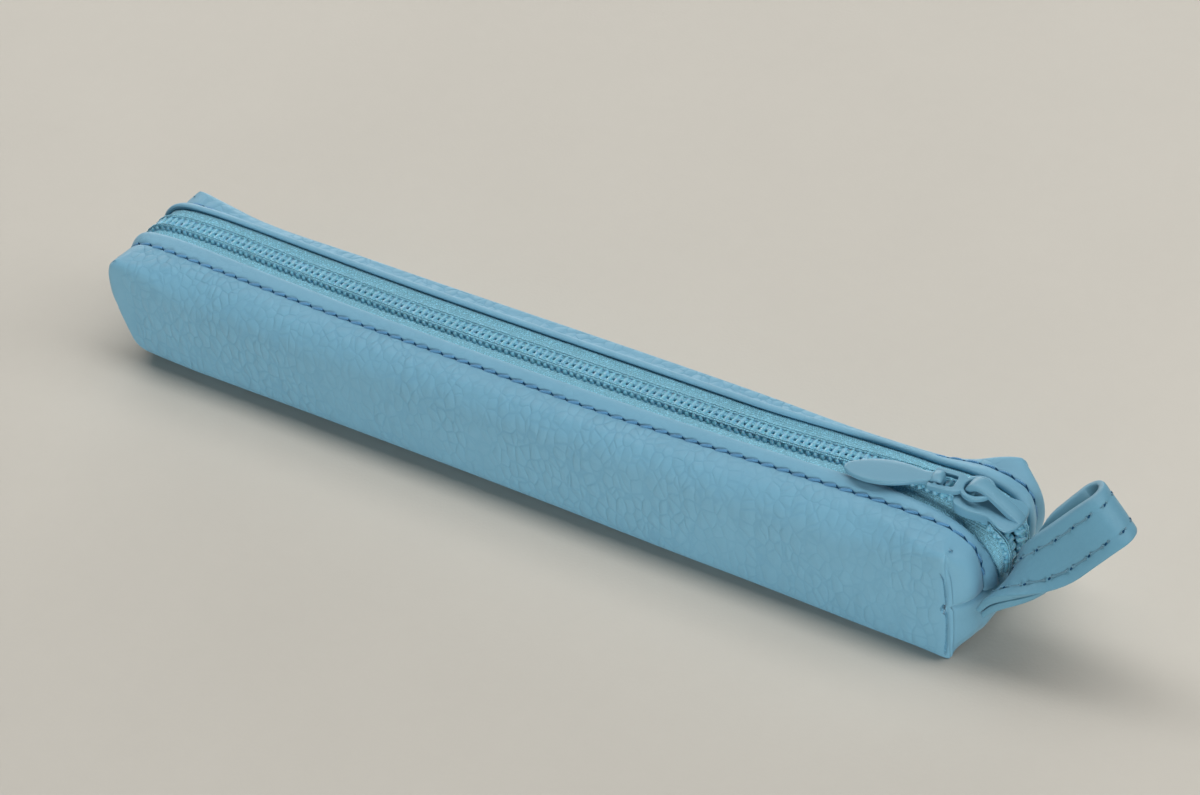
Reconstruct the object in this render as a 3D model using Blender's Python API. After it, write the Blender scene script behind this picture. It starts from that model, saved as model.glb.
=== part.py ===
"""Slim leather pen case with a coil zip over its top and a wrist loop at one end.

Metres, +Z up. The origin is the middle of the flat base, +X runs along the case to the end
that carries the wrist loop, and -Y is the front wall. One leather panel makes the front,
the base and the back. Its two long edges are turned, and they fold inward on a hinge line
beside their stitching when the zip is open. The zip runs along the top and over both ends,
down to a seam at half the height of each end panel.
"""
import math

import bmesh
import bpy
from mathutils import Matrix, Vector

# Case body
case_length = 0.2000          # between the corners of the two ends
case_width = 0.0296
case_height = 0.0250
leather = 0.0016              # thickness of the wall
end_bulge = 0.0049            # the middle of an end panel stands this far past its corners
mouth_set_back = 0.0040       # the top edge of an end curls back this far at its middle
shoulder_radius = 0.0080      # soft top edge along the middle of the case
base_radius = 0.0025          # soft bottom fold
ear_radius = 0.0012           # sharp corners at both ends
ear_length = 0.0230           # run over which the soft edges sharpen into the ears
inner_radius = 0.0005         # least radius of an edge inside a wall
lining_thickness = 0.0005

# Zip
mouth_width = 0.0096          # between the two turned edges
lip_width = 0.0048            # turned edge, from the mouth to its hinge roll
lip_thickness = 0.0020
far_hold = 0.0190             # length of fixed edge at the far end
near_hold = 0.0064            # length of fixed edge at the loop end
coil_row_width = 0.0021
coil_gap = 0.0010             # between the two rows of the coil
coil_proud = 0.0002           # the coil stands this far above the turned edges
coil_pitch = 0.00157
coil_rib = 0.0003             # depth between two turns of the coil
tape_thickness = 0.0005
tape_cover = 0.0028           # width of tape held under a turned edge
stitch_inset = 0.0025         # from the mouth to the topstitching
thread_radius = 0.0002
clearance = 0.0003            # between pieces that lie against each other

# Slider, its link and its leaf
slider_length = 0.0118
slider_width = 0.0090
slider_overhang = 0.0063      # its front stands this far past the end corners when the zip is closed
slider_plate = 0.0006         # top plate at its front
slider_plate_rear = 0.0026    # top plate at its rear
slider_keel = 0.0014          # bottom plate
slider_keel_length = 0.0029
flange_length = 0.0066
flange_outer_share = 0.85     # of the half width
bridge_width = 0.0020
bridge_back = 0.0036          # rear of the bridge behind its eye
bridge_front = 0.0058         # foot of the bridge in front of its eye
bridge_rise = 0.0019          # crest above the eye
eye_radius = 0.0013
eye_set_back = 0.0064         # eye behind the slider's nose
link_thickness = 0.0010
ring_outer = 0.0033
ring_hole = 0.0022
link_reach = 0.0102           # from the eye to the link's crossbar
link_tail = 0.0011            # prongs past the crossbar
link_width = 0.0054
fork_width = 0.0032           # between the two prongs
crossbar_radius = 0.0005
frame_shoulder_share = 0.7    # of the link's half width, where its frame meets the ring
pull_yaw = math.radians(7)    # the pull lies turned a little to the front
barrel_outer = 0.00105
barrel_bore = 0.0008
leaf_length = 0.0195          # from the crossbar to the tip
leaf_width = 0.0070
leaf_neck = 0.0024
leaf_thickness = 0.0012
leaf_pitch = math.radians(-8.6)

# Wrist loop
loop_length = 0.0290          # from its hinge line in the seam to the tip
strap_width = 0.0108
strap_thickness = 0.0015
loop_root_radius = 0.0012     # half the thickness of the two legs at the seam
loop_tip_radius = 0.0042
loop_root_across = -0.0063    # middle of the strap along the seam, from the case's middle
loop_fused = 0.0055           # the two legs lie together up to here
loop_row_spacing = 0.0059     # between the strap's two stitch rows
loop_lean_share = 0.42        # the far leg stands higher than the near one at the tip
loop_bend_share = 0.36        # of the loop's length, at each end of its bend
loop_twist_share = 0.55       # of the loop's length, over which the strap turns on edge
loop_rise = math.radians(65)  # the strap leaves the seam at this slope

# Directions of the strap, as unit vectors before they are made square to each other
strap_end_heading = (0.57, 0.77, 0.28)
strap_end_width = (-0.65, 0.21, 0.73)

# Shapes as shares of the sizes above
ear_power = 4
bulge_power = 3
ring_stations_share = (0.0, 0.3, 0.55, 0.75, 0.82, 0.88, 0.94, 0.98, 1.0)
dome_rings_share = (0.985, 0.94, 0.86, 0.72, 0.5, 0.25)
side_points_share = (-0.5, 0.0, 0.5)
top_points_share = (-0.62, -0.36, 0.0, 0.36, 0.62)
neck_share = 0.5              # the leaf keeps at least its neck's width up to here
root_inner_share = 0.25       # of the strap's thickness, radius where its two legs part
corner_steps = 3
end_steps = 22
tip_steps = 12
leg_steps = 8
root_steps = 6
rod_sides = 20
ring_sides = 28
slider_outline_share = ((0.0, 0.0), (0.0, 0.66), (0.05, 0.82), (0.28, 0.85), (0.5, 0.8), (0.66, 0.92),
                        (0.8, 1.0), (0.9, 0.86), (0.97, 0.5), (1.0, 0.0))
leaf_outline_share = ((0.0, 0.0), (0.14, 0.02), (0.3, 0.45), (0.46, 0.86), (0.62, 1.0), (0.78, 0.86),
                      (0.91, 0.5), (0.98, 0.18))
bridge_back_share = ((1.0, 0.55), (0.86, 0.92), (0.5, 1.05), (0.0, 0.95))
bridge_front_share = ((0.5, 0.05), (0.85, -1.0))

# Places worked out from the sizes
half_length = case_length / 2
half_width = case_width / 2
seam_height = case_height / 2
mouth_half = mouth_width / 2
hinge_across = mouth_half + lip_width - lip_thickness / 2
hinge_height = case_height - lip_thickness / 2
lip_start = far_hold - half_length
lip_end = half_length - near_hold
tape_top = lip_thickness + clearance           # depth below the turned edges
tape_bottom = tape_top + tape_thickness
coil_inner = coil_gap / 2
coil_outer = coil_inner + coil_row_width
stitch_across = mouth_half + stitch_inset
bend_start = half_length - mouth_set_back
overrun = case_height                          # cutters run this far past what they cut
slider_nose = half_length + slider_overhang
slider_rear = slider_nose - slider_length
plate_base = case_height + coil_proud + clearance
eye_x = slider_nose - eye_set_back
eye_z = plate_base + slider_plate_rear + clearance + link_thickness / 2


def remove_old_objects():
    for old in list(bpy.data.objects):
        bpy.data.objects.remove(old, do_unlink=True)


def new_collection(name):
    collection = bpy.data.collections.new(name)
    bpy.context.scene.collection.children.link(collection)
    return collection


def new_material(name, colour, roughness, metallic=0.0):
    material = bpy.data.materials.new(name)
    material.use_nodes = True
    shader = material.node_tree.nodes["Principled BSDF"]
    shader.inputs["Base Color"].default_value = (*colour, 1.0)
    shader.inputs["Roughness"].default_value = roughness
    shader.inputs["Metallic"].default_value = metallic
    return material


remove_old_objects()
parts = new_collection("leather_pen_case")
cutters = new_collection("cutters")
leather_finish = new_material("pebbled_leather", (0.175, 0.43, 0.62), 0.5)
strap_finish = new_material("strap_leather", (0.18, 0.44, 0.63), 0.5)
lining_finish = new_material("lining_cloth", (0.11, 0.3, 0.44), 0.9)
tape_finish = new_material("zip_tape", (0.09, 0.33, 0.46), 0.85)
coil_finish = new_material("coil_nylon", (0.12, 0.37, 0.51), 0.4)
paint_finish = new_material("painted_metal", (0.16, 0.42, 0.61), 0.35)
thread_finish = new_material("sewing_thread", (0.06, 0.21, 0.42), 0.6)


def add_part(name, mesh, material, parent=None):
    """Put a finished mesh in the collection, under the empty on its joint's axis."""
    part = bpy.data.objects.new(name, mesh)
    parts.objects.link(part)
    mesh.materials.clear()
    mesh.materials.append(material)
    if parent:
        part.parent = parent
    return part


def add_pivot(name, place, turn=(0.0, 0.0, 0.0), parent=None):
    """An empty on a joint's axis; its place is in the space of its own parent."""
    pivot = bpy.data.objects.new(name, None)
    parts.objects.link(pivot)
    pivot.location = place
    pivot.rotation_euler = turn
    if parent:
        pivot.parent = parent
    return pivot


def use_as_tool(target, mesh, operation):
    """Join a mesh to a part or cut it away; the tool keeps the part's own space."""
    tool = bpy.data.objects.new(f"{target.name}_{operation.lower()}_{len(target.modifiers)}", mesh)
    cutters.objects.link(tool)
    tool.parent = target
    tool.hide_render = True
    tool.display_type = "WIRE"
    boolean = target.modifiers.new(operation.lower(), "BOOLEAN")
    boolean.operation = operation
    boolean.object = tool
    return tool


def mesh_from(bm, name):
    bmesh.ops.recalc_face_normals(bm, faces=bm.faces)
    mesh = bpy.data.meshes.new(name)
    bm.to_mesh(mesh)
    bm.free()
    return mesh


def box(low, high):
    """A box between two corners."""
    bm = bmesh.new()
    bmesh.ops.create_cube(bm, size=1.0)
    size = Vector(high) - Vector(low)
    middle = (Vector(high) + Vector(low)) / 2
    bmesh.ops.transform(bm, matrix=Matrix.Translation(middle) @ Matrix.Diagonal((*size, 1.0)), verts=bm.verts)
    return mesh_from(bm, "box")


def rod(radius, length):
    """A cylinder along Y, about the origin."""
    bm = bmesh.new()
    bmesh.ops.create_cone(bm, cap_ends=True, segments=rod_sides, radius1=radius, radius2=radius, depth=length)
    bmesh.ops.rotate(bm, matrix=Matrix.Rotation(math.pi / 2, 3, "X"), verts=bm.verts)
    return mesh_from(bm, "rod")


def curve_mesh(curve, matrix, name):
    """Turn a curve into a closed mesh with its caps joined on."""
    carrier = bpy.data.objects.new(name, curve)
    bpy.context.scene.collection.objects.link(carrier)
    bpy.context.view_layer.update()
    evaluated = carrier.evaluated_get(bpy.context.evaluated_depsgraph_get())
    mesh = bpy.data.meshes.new_from_object(evaluated)
    bpy.data.objects.remove(carrier, do_unlink=True)
    bm = bmesh.new()
    bm.from_mesh(mesh)
    bpy.data.meshes.remove(mesh)
    bmesh.ops.remove_doubles(bm, verts=bm.verts, dist=clearance / 100)
    bmesh.ops.transform(bm, matrix=matrix, verts=bm.verts)
    return mesh_from(bm, name)


# The plane of an outline, as the turn that brings the curve's own plane there
on_floor = Matrix.Identity(4)
seen_from_front = Matrix.Rotation(math.pi / 2, 4, "X")
seen_from_end = Matrix.Rotation(math.pi / 2, 4, "Z") @ Matrix.Rotation(math.pi / 2, 4, "X")


def flat_solid(name, loops, low, high, plane):
    """Extrude closed outlines from low to high, square to their plane."""
    curve = bpy.data.curves.new(name, "CURVE")
    curve.dimensions = "2D"
    curve.fill_mode = "BOTH"
    curve.extrude = (high - low) / 2
    for loop in loops:
        spline = curve.splines.new("POLY")
        spline.points.add(len(loop) - 1)
        for point, (along, up) in zip(spline.points, loop):
            point.co = (along, up, 0.0, 1.0)
        spline.use_cyclic_u = True
    shift = (high + low) / 2 * (-1 if plane == seen_from_front else 1)
    return curve_mesh(curve, plane @ Matrix.Translation((0.0, 0.0, shift)), name)


def thread(name, points):
    """A sewing thread along a route."""
    curve = bpy.data.curves.new(name, "CURVE")
    curve.dimensions = "3D"
    curve.bevel_depth = thread_radius
    curve.bevel_resolution = 1
    curve.use_fill_caps = True
    spline = curve.splines.new("POLY")
    spline.points.add(len(points) - 1)
    for target, point in zip(spline.points, points):
        target.co = (*point, 1.0)
    return curve_mesh(curve, on_floor, name)


def circle(centre, radius):
    steps = [2 * math.pi * step / ring_sides for step in range(ring_sides)]
    return [(centre[0] + radius * math.cos(t), centre[1] + radius * math.sin(t)) for t in steps]


# Case body

def end_reach(across, up):
    """How far the end panel lies from the case's middle; across and up run from -1 to 1."""
    edge = half_length - mouth_set_back * (1 - abs(across) ** ear_power)
    crown = half_length + end_bulge * (1 - abs(across) ** bulge_power)
    return edge + (crown - edge) * math.sqrt(max(0.0, 1 - up ** 2))


def corner_arc(side, top, width, low, high, radius):
    """Points of one rounded corner of a section, in order round the section."""
    centre_y = side * (width - radius)
    centre_z = high - radius if top else low + radius
    quarter = {(1, False): -90, (1, True): 0, (-1, True): 90, (-1, False): 180}[(side, top)]
    angles = [math.radians(quarter + 90 * step / corner_steps) for step in range(corner_steps + 1)]
    return [(centre_y + radius * math.cos(a), centre_z + radius * math.sin(a)) for a in angles]


def case_section(inset, sharpness):
    """A section of the case, set in by inset; sharpness is 1 at the ends and 0 in the middle."""
    width, low, high = half_width - inset, inset, case_height - inset
    top_radius = max(shoulder_radius + (ear_radius - shoulder_radius) * sharpness - inset, inner_radius)
    low_radius = max(base_radius + (ear_radius - base_radius) * sharpness - inset, inner_radius)
    flat_top, flat_low = width - top_radius, width - low_radius
    points = [(share * flat_low, low) for share in top_points_share]
    points += corner_arc(1, False, width, low, high, low_radius)
    points += [(width, seam_height + share * (seam_height - inset) / 2) for share in side_points_share]
    points += corner_arc(1, True, width, low, high, top_radius)
    points += [(-share * flat_top, high) for share in top_points_share]
    points += corner_arc(-1, True, width, low, high, top_radius)
    points += [(-width, seam_height - share * (seam_height - inset) / 2) for share in side_points_share]
    points += corner_arc(-1, False, width, low, high, low_radius)
    return points


def case_skin(name, inset):
    """The closed surface of the case, set in by inset: lofted sections and two domed ends."""
    width, height = half_width - inset, seam_height - inset
    bm = bmesh.new()
    rings = []

    def add_ring(points, share, end, scale=1.0):
        ring = []
        for y, z in points:
            across, up = y / width * scale, (z - seam_height) / height * scale
            x = end * share * (end_reach(across, up) - inset)
            ring.append(bm.verts.new((x, across * width, seam_height + up * height)))
        rings.append(ring)

    end_section = case_section(inset, 1.0)
    for end in (-1, 1):
        shares = ring_stations_share[:0:-1] if end < 0 else ring_stations_share
        if end < 0:
            for scale in reversed(dome_rings_share):
                add_ring(end_section, 1.0, end, scale)
        for share in shares:
            rest = min(1.0, (1 - share) * half_length / ear_length)
            add_ring(case_section(inset, 1 - rest ** 2 * (3 - 2 * rest)), share, end)
        if end > 0:
            for scale in dome_rings_share:
                add_ring(end_section, 1.0, end, scale)
    for ring, following in zip(rings, rings[1:]):
        for index in range(len(ring)):
            after = (index + 1) % len(ring)
            bm.faces.new((ring[index], ring[after], following[after], following[index]))
    for end, ring in ((-1, rings[0]), (1, rings[-1])):
        pole = bm.verts.new((end * (end_reach(0.0, 0.0) - inset), 0.0, seam_height))
        for index in range(len(ring)):
            bm.faces.new((ring[index], ring[(index + 1) % len(ring)], pole))
    return mesh_from(bm, name)


def make_shell():
    """The leather: one wall all round, open at the mouth and along the zip over both ends."""
    shell = add_part("leather_shell", case_skin("leather_shell", 0.0), leather_finish)
    use_as_tool(shell, case_skin("cavity", leather), "DIFFERENCE")
    lip_edge = hinge_across + lip_thickness / 2 + clearance
    use_as_tool(shell, box((lip_start - clearance, -lip_edge, seam_height),
                           (lip_end + clearance, lip_edge, case_height + overrun)), "DIFFERENCE")
    for end in (-1, 1):
        near, far = sorted((end * (lip_end - clearance), end * (half_length + overrun)))
        if end < 0:
            far = lip_start + clearance
        use_as_tool(shell, box((near, -mouth_half, seam_height), (far, mouth_half, case_height + overrun)),
                    "DIFFERENCE")


def make_lining():
    """The lining: a thin trough inside the leather, open under the zip from end to end."""
    outer = leather + clearance
    lining = add_part("lining", case_skin("lining", outer), lining_finish)
    use_as_tool(lining, case_skin("lining_cavity", outer + lining_thickness), "DIFFERENCE")
    reach = half_length + overrun
    edge = hinge_across + lip_thickness / 2 + 2 * clearance
    use_as_tool(lining, box((-reach, -edge, seam_height), (reach, edge, case_height + overrun)), "DIFFERENCE")


# Zip

def end_path(share, depth, start, end):
    """A point of the zip's run over an end: level from start, then round and down to the seam."""
    level = bend_start - start
    long_axis = mouth_set_back + end_bulge - depth
    tall_axis = seam_height - depth
    last = math.acos(clearance / seam_height)
    round_run = (long_axis + tall_axis) / 2 * last
    travelled = share * (level + round_run)
    if travelled <= level:
        return end * (start + travelled), case_height - depth
    angle = (travelled - level) / round_run * last
    return end * (bend_start + long_axis * math.sin(angle)), seam_height + tall_axis * math.cos(angle)


def end_strip(start, end, deep, shallow, rib=0.0):
    """Outline, seen from the front, of a strip that follows the zip over an end."""
    shares = [step / end_steps for step in range(end_steps + 1)]
    under = [end_path(share, deep, start, end) for share in shares]
    over = [end_path(share, shallow + rib * (step % 2), start, end) for step, share in enumerate(shares)]
    return under + over[::-1]


def coil_outline():
    """Outline, seen from the front, of the straight coil with its turns."""
    turns = round((lip_end - lip_start) / coil_pitch)
    step = (lip_end - lip_start) / turns
    top = case_height + coil_proud
    points = [(lip_start, case_height - lip_thickness)]
    for turn in range(turns):
        points += [(lip_start + turn * step, top - coil_rib), (lip_start + (turn + 0.5) * step, top)]
    return points + [(lip_end, top - coil_rib), (lip_end, case_height - lip_thickness)]


def between(side, inner, outer):
    """The low and high Y of a strip on one side of the case's middle."""
    return sorted((side * inner, side * outer))


def make_end_zip(side, side_name, end, end_name):
    """Tape, coil row and stitching that stay with one end of the case."""
    start = lip_end + clearance if end > 0 else clearance - lip_start
    tape_edges = between(side, coil_inner, mouth_half - clearance)
    tape = flat_solid("tape", [end_strip(start, end, tape_bottom, tape_top)], *tape_edges, seen_from_front)
    add_part(f"{end_name}_tape_{side_name}", tape, tape_finish)
    rows = between(side, coil_inner, coil_outer)
    outline = end_strip(start, end, lip_thickness, -coil_proud, coil_rib)
    add_part(f"{end_name}_coil_{side_name}", flat_solid("coil", [outline], *rows, seen_from_front), coil_finish)
    lift = clearance + thread_radius
    across = stitch_across / half_width
    points = [(end * start, side * stitch_across, case_height + lift)]
    last = math.acos((loop_root_radius + 2 * lift) / seam_height)
    for step in range(end_steps):
        angle = last * step / (end_steps - 1)
        up = math.cos(angle)
        x = end_reach(across, up) + lift * math.sin(angle)
        points.append((end * x, side * stitch_across, seam_height * (1 + up) + lift * up))
    add_part(f"{end_name}_topstitch_{side_name}", thread("thread", points), thread_finish)


def make_lip(side, side_name):
    """One turned edge with its tape, coil row and topstitching, on its hinge line."""
    pivot = add_pivot(f"{side_name}_lip_hinge", (0.0, side * hinge_across, hinge_height))
    home = Matrix.Translation((0.0, -side * hinge_across, -hinge_height))
    roll = lip_thickness / 2
    angles = [math.radians(-90 + 180 * step / (2 * corner_steps)) for step in range(2 * corner_steps + 1)]
    band = [(side * roll * math.cos(angle), roll * math.sin(angle)) for angle in angles]
    inner = side * (mouth_half - hinge_across)
    band += [(inner, roll), (inner, -roll)]
    band_mesh = flat_solid("band", [band], lip_start, lip_end, seen_from_end)
    add_part(f"lip_band_{side_name}", band_mesh, leather_finish, pivot)
    tape_edges = between(side, coil_inner, mouth_half + tape_cover)
    tape = box((lip_start, tape_edges[0], case_height - tape_bottom),
               (lip_end, tape_edges[1], case_height - tape_top))
    coil = flat_solid("coil", [coil_outline()], *between(side, coil_inner, coil_outer), seen_from_front)
    height = case_height + clearance + thread_radius
    stitching = thread("thread", [(x, side * stitch_across, height) for x in (lip_start, lip_end)])
    for name, mesh, finish in (("zip_tape", tape, tape_finish), ("zip_coil", coil, coil_finish),
                               ("topstitch", stitching, thread_finish)):
        mesh.transform(home)
        add_part(f"{name}_{side_name}", mesh, finish, pivot)


# Slider, link and leaf

def mirrored(points):
    """An outline from the points of its left half, which start and may end on the middle line."""
    right = [(along, -across) for along, across in reversed(points) if across]
    return points + right


def make_slider():
    """Slider body: sloping top plate, two side flanges, bottom plate, post and bridge with its eye."""
    pivot = add_pivot("slider_track", (slider_rear, 0.0, case_height))
    home = Matrix.Translation((-slider_rear, 0.0, -case_height))
    half = slider_width / 2
    plan = [(slider_rear + along * slider_length, across * half) for along, across in slider_outline_share]
    plate_top = plate_base + slider_plate_rear
    plate = flat_solid("slider_body", [mirrored(plan)], plate_base, plate_top, on_floor)
    for vertex in plate.vertices:
        if vertex.co.z > plate_base + slider_plate_rear / 2:
            forward = (vertex.co.x - slider_rear) / slider_length
            vertex.co.z = plate_top - forward * (slider_plate_rear - slider_plate)
    slider = add_part("slider_body", plate, paint_finish, pivot)
    keel_top = case_height - tape_bottom - clearance
    flange_outer = flange_outer_share * half
    bite = slider_plate / 2
    pieces = [box((slider_rear + clearance, side * (coil_outer + clearance), case_height - lip_thickness),
                  (slider_rear + flange_length, side * flange_outer, plate_base + bite)) for side in (-1, 1)]
    post_half = coil_inner - clearance
    pieces.append(box((slider_rear, -flange_outer, keel_top - slider_keel),
                      (slider_rear + slider_keel_length, flange_outer, keel_top)))
    pieces.append(box((slider_rear + clearance, -post_half, keel_top - bite),
                      (slider_rear + slider_keel_length - clearance, post_half, plate_base + bite)))
    foot = plate_base + bite
    back = [(eye_x - along * bridge_back, eye_z + up * bridge_rise) for along, up in bridge_back_share]
    front = [(eye_x + along * bridge_front, eye_z + up * bridge_rise) for along, up in bridge_front_share]
    bridge = [(eye_x - bridge_back, foot), *back, *front, (eye_x + bridge_front, foot)]
    loops = [bridge, circle((eye_x, eye_z), eye_radius)]
    pieces.append(flat_solid("bridge", loops, -bridge_width / 2, bridge_width / 2, seen_from_front))
    for piece in (plate, *pieces):
        piece.transform(home)
    for piece in pieces:
        use_as_tool(slider, piece, "UNION")
    return pivot


def make_pull(track):
    """The link on the slider's eye, and the leaf on the link's crossbar."""
    eye = add_pivot("link_pivot", (eye_x - slider_rear, 0.0, eye_z - case_height), (0.0, 0.0, pull_yaw), track)
    half = link_thickness / 2
    ring_centre = (-ring_hole - half, 0.0)
    ring = flat_solid("pull_link", [circle(ring_centre, ring_outer), circle(ring_centre, ring_hole)],
                      -half, half, on_floor)
    link = add_part("pull_link", ring, paint_finish, eye)
    ring_back = ring_centre[0] - ring_hole
    frame_back = -link_reach - link_tail
    wide, narrow = link_width / 2, fork_width / 2
    fork_floor = ring_back - (ring_outer - ring_hole)
    frame = [(ring_back - half, wide * frame_shoulder_share), (fork_floor, wide), (frame_back, wide),
             (frame_back, narrow), (fork_floor, narrow)]
    frame = frame + [(along, -across) for along, across in reversed(frame)]
    use_as_tool(link, flat_solid("frame", [frame], -half, half, on_floor), "UNION")
    crossbar = rod(crossbar_radius, fork_width + link_thickness)
    crossbar.transform(Matrix.Translation((-link_reach, 0.0, 0.0)))
    use_as_tool(link, crossbar, "UNION")
    hinge = add_pivot("leaf_pivot", (-link_reach, 0.0, 0.0), (0.0, leaf_pitch, 0.0), eye)
    half_leaf = leaf_width / 2
    plan = []
    for along, across in leaf_outline_share:
        least = leaf_neck / 2 if along < neck_share else 0.0
        plan.append((-along * leaf_length, max(across * half_leaf, least)))
    plan.append((-leaf_length, 0.0))
    outline = plan + [(along, -across) for along, across in reversed(plan[:-1])]
    blade = flat_solid("pull_leaf", [outline], -leaf_thickness / 2, leaf_thickness / 2, on_floor)
    leaf = add_part("pull_leaf", blade, paint_finish, hinge)
    barrel_length = fork_width - 2 * clearance
    use_as_tool(leaf, rod(barrel_outer, barrel_length), "UNION")
    use_as_tool(leaf, rod(barrel_bore, barrel_length + overrun), "DIFFERENCE")


# Wrist loop

def square_frame(heading, width):
    """Heading, width and outward directions, made square to each other."""
    heading = Vector(heading).normalized()
    width = Vector(width)
    width = (width - heading * width.dot(heading)).normalized()
    return heading, width, heading.cross(width)


def loop_root():
    """Where the strap leaves the seam: its middle, heading and width directions."""
    low, high = loop_root_across - strap_width / 2, loop_root_across + strap_width / 2
    ends = [Vector((end_reach(y / half_width, 0.0), y, seam_height)) for y in (low, high)]
    along_seam = (ends[1] - ends[0]).normalized()
    outward = along_seam.cross(Vector((0.0, 0.0, 1.0)))
    crown = Vector((end_reach(loop_root_across / half_width, 0.0), loop_root_across, seam_height))
    middle = crown + outward * (clearance + loop_root_radius)
    return middle, outward, along_seam


def loop_point(along, off, across):
    """A point of the loop: along its length, off its middle sheet, and across the strap."""
    middle, outward, along_seam = loop_root()
    end_heading, end_width, end_off = square_frame(strap_end_heading, strap_end_width)
    start_heading = outward * math.cos(loop_rise) + Vector((0.0, 0.0, math.sin(loop_rise)))
    handle = loop_bend_share * loop_length
    chord = (start_heading + end_heading).normalized()
    tip = middle + chord * (loop_length - loop_tip_radius - loop_root_radius)
    nodes = (middle, middle + start_heading * handle, tip - end_heading * handle, tip)
    reach = loop_length - loop_tip_radius - loop_root_radius
    share = min(max(along / reach, 0.0), 1.0)
    rest = 1 - share
    place = (nodes[0] * rest ** 3 + nodes[1] * 3 * rest ** 2 * share
             + nodes[2] * 3 * rest * share ** 2 + nodes[3] * share ** 3)
    heading = ((nodes[1] - nodes[0]) * rest ** 2 + (nodes[2] - nodes[1]) * 2 * rest * share
               + (nodes[3] - nodes[2]) * share ** 2)
    twist = min(1.0, share / loop_twist_share)
    turn = twist ** 2 * (3 - 2 * twist)
    heading, width, outside = square_frame(heading, along_seam * (1 - turn) + end_width * turn)
    past = along - share * reach
    lean = loop_lean_share * turn
    return place + heading * past + outside * off + width * (across - lean * off)


def loop_ring(inset, start, root):
    """The strap's outline from above its edge: a slim drop from a root of its own radius."""
    reach = loop_length - loop_tip_radius - loop_root_radius
    tip = loop_tip_radius - inset
    tilt = math.asin((tip - root) / (reach - start))
    points = []
    for step in range(tip_steps + 1):
        angle = -math.pi / 2 - tilt + (math.pi + 2 * tilt) * step / tip_steps
        points.append((reach + tip * math.cos(angle), tip * math.sin(angle)))
    leg = []
    for step in range(1, leg_steps):
        share = step / leg_steps
        radius = tip + (root - tip) * share
        leg.append((reach + (start - reach) * share - radius * math.sin(tilt), radius * math.cos(tilt)))
    points += leg
    for step in range(root_steps + 1):
        angle = math.pi / 2 + tilt + (math.pi - 2 * tilt) * step / root_steps
        points.append((start + root * math.cos(angle), root * math.sin(angle)))
    return points + [(along, -off) for along, off in reversed(leg)]


def make_loop():
    """The folded strap with its hole, and its two rows of stitching."""
    middle, outward, along_seam = loop_root()
    pivot = add_pivot("wrist_loop_hinge", middle)
    home = Matrix.Translation(-middle)
    outer = loop_ring(0.0, 0.0, loop_root_radius)
    inner = loop_ring(strap_thickness, loop_fused, strap_thickness * root_inner_share)
    half, row = strap_width / 2, loop_row_spacing / 2
    bm = bmesh.new()
    outside = [(outer, across) for across in (-half, -row, row, half)]
    inside = [(inner, across) for across in (half, row, -row, -half)]
    bands = [[bm.verts.new(loop_point(along, off, across)) for along, off in ring]
             for ring, across in outside + inside]
    for band, following in zip(bands, bands[1:] + bands[:1]):
        for index in range(len(band)):
            after = (index + 1) % len(band)
            bm.faces.new((band[index], band[after], following[after], following[index]))
    strap = mesh_from(bm, "wrist_strap")
    strap.transform(home)
    add_part("wrist_strap", strap, strap_finish, pivot)
    lift = clearance + thread_radius
    around = loop_ring(-lift, 0.0, loop_root_radius + lift)
    sewn = [(along, off) for along, off in around if along > loop_root_radius]
    reach = loop_length - loop_tip_radius - loop_root_radius
    sewn.sort(key=lambda point: math.atan2(point[1], point[0] - reach))
    for name, across in (("strap_stitching_lower", -1), ("strap_stitching_upper", 1)):
        route = [loop_point(along, off, across * row) for along, off in sewn]
        mesh = thread(name, route)
        mesh.transform(home)
        add_part(name, mesh, thread_finish, pivot)


make_shell()
make_lining()
for side, side_name in ((-1, "front"), (1, "rear")):
    make_lip(side, side_name)
    for end, end_name in ((-1, "far"), (1, "near")):
        make_end_zip(side, side_name, end, end_name)
make_pull(make_slider())
make_loop()
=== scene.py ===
"""Looks for the leather pen case: leather, zip, slider, wrist loop, and a plain studio stage."""
import math

import bmesh
import bpy
import numpy as np
from mathutils import Matrix, Vector, noise


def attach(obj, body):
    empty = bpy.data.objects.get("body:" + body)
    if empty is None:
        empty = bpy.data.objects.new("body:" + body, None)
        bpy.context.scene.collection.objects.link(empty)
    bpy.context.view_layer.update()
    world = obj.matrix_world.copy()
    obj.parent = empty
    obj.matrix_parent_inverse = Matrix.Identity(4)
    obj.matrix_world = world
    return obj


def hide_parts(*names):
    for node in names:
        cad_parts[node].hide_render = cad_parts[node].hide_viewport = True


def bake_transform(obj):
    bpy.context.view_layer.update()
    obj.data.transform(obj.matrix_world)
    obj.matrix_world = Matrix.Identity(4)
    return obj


bl_info = {
    "name": "Leather Pen Case",
    "version": (1, 0, 0),
    "blender": (4, 5, 0),
    "location": "View3D > Sidebar > Pen Case",
    "description": "Builds the leather, the zip, the slider and the wrist loop of a slim pen case",
    "category": "Object",
}

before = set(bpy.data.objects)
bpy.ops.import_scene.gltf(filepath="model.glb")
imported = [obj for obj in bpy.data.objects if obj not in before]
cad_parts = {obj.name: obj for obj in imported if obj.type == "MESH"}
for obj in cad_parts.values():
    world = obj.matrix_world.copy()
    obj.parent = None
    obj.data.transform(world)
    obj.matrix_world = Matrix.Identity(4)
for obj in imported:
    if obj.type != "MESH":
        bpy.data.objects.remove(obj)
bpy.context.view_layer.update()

MM = 0.001

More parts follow.
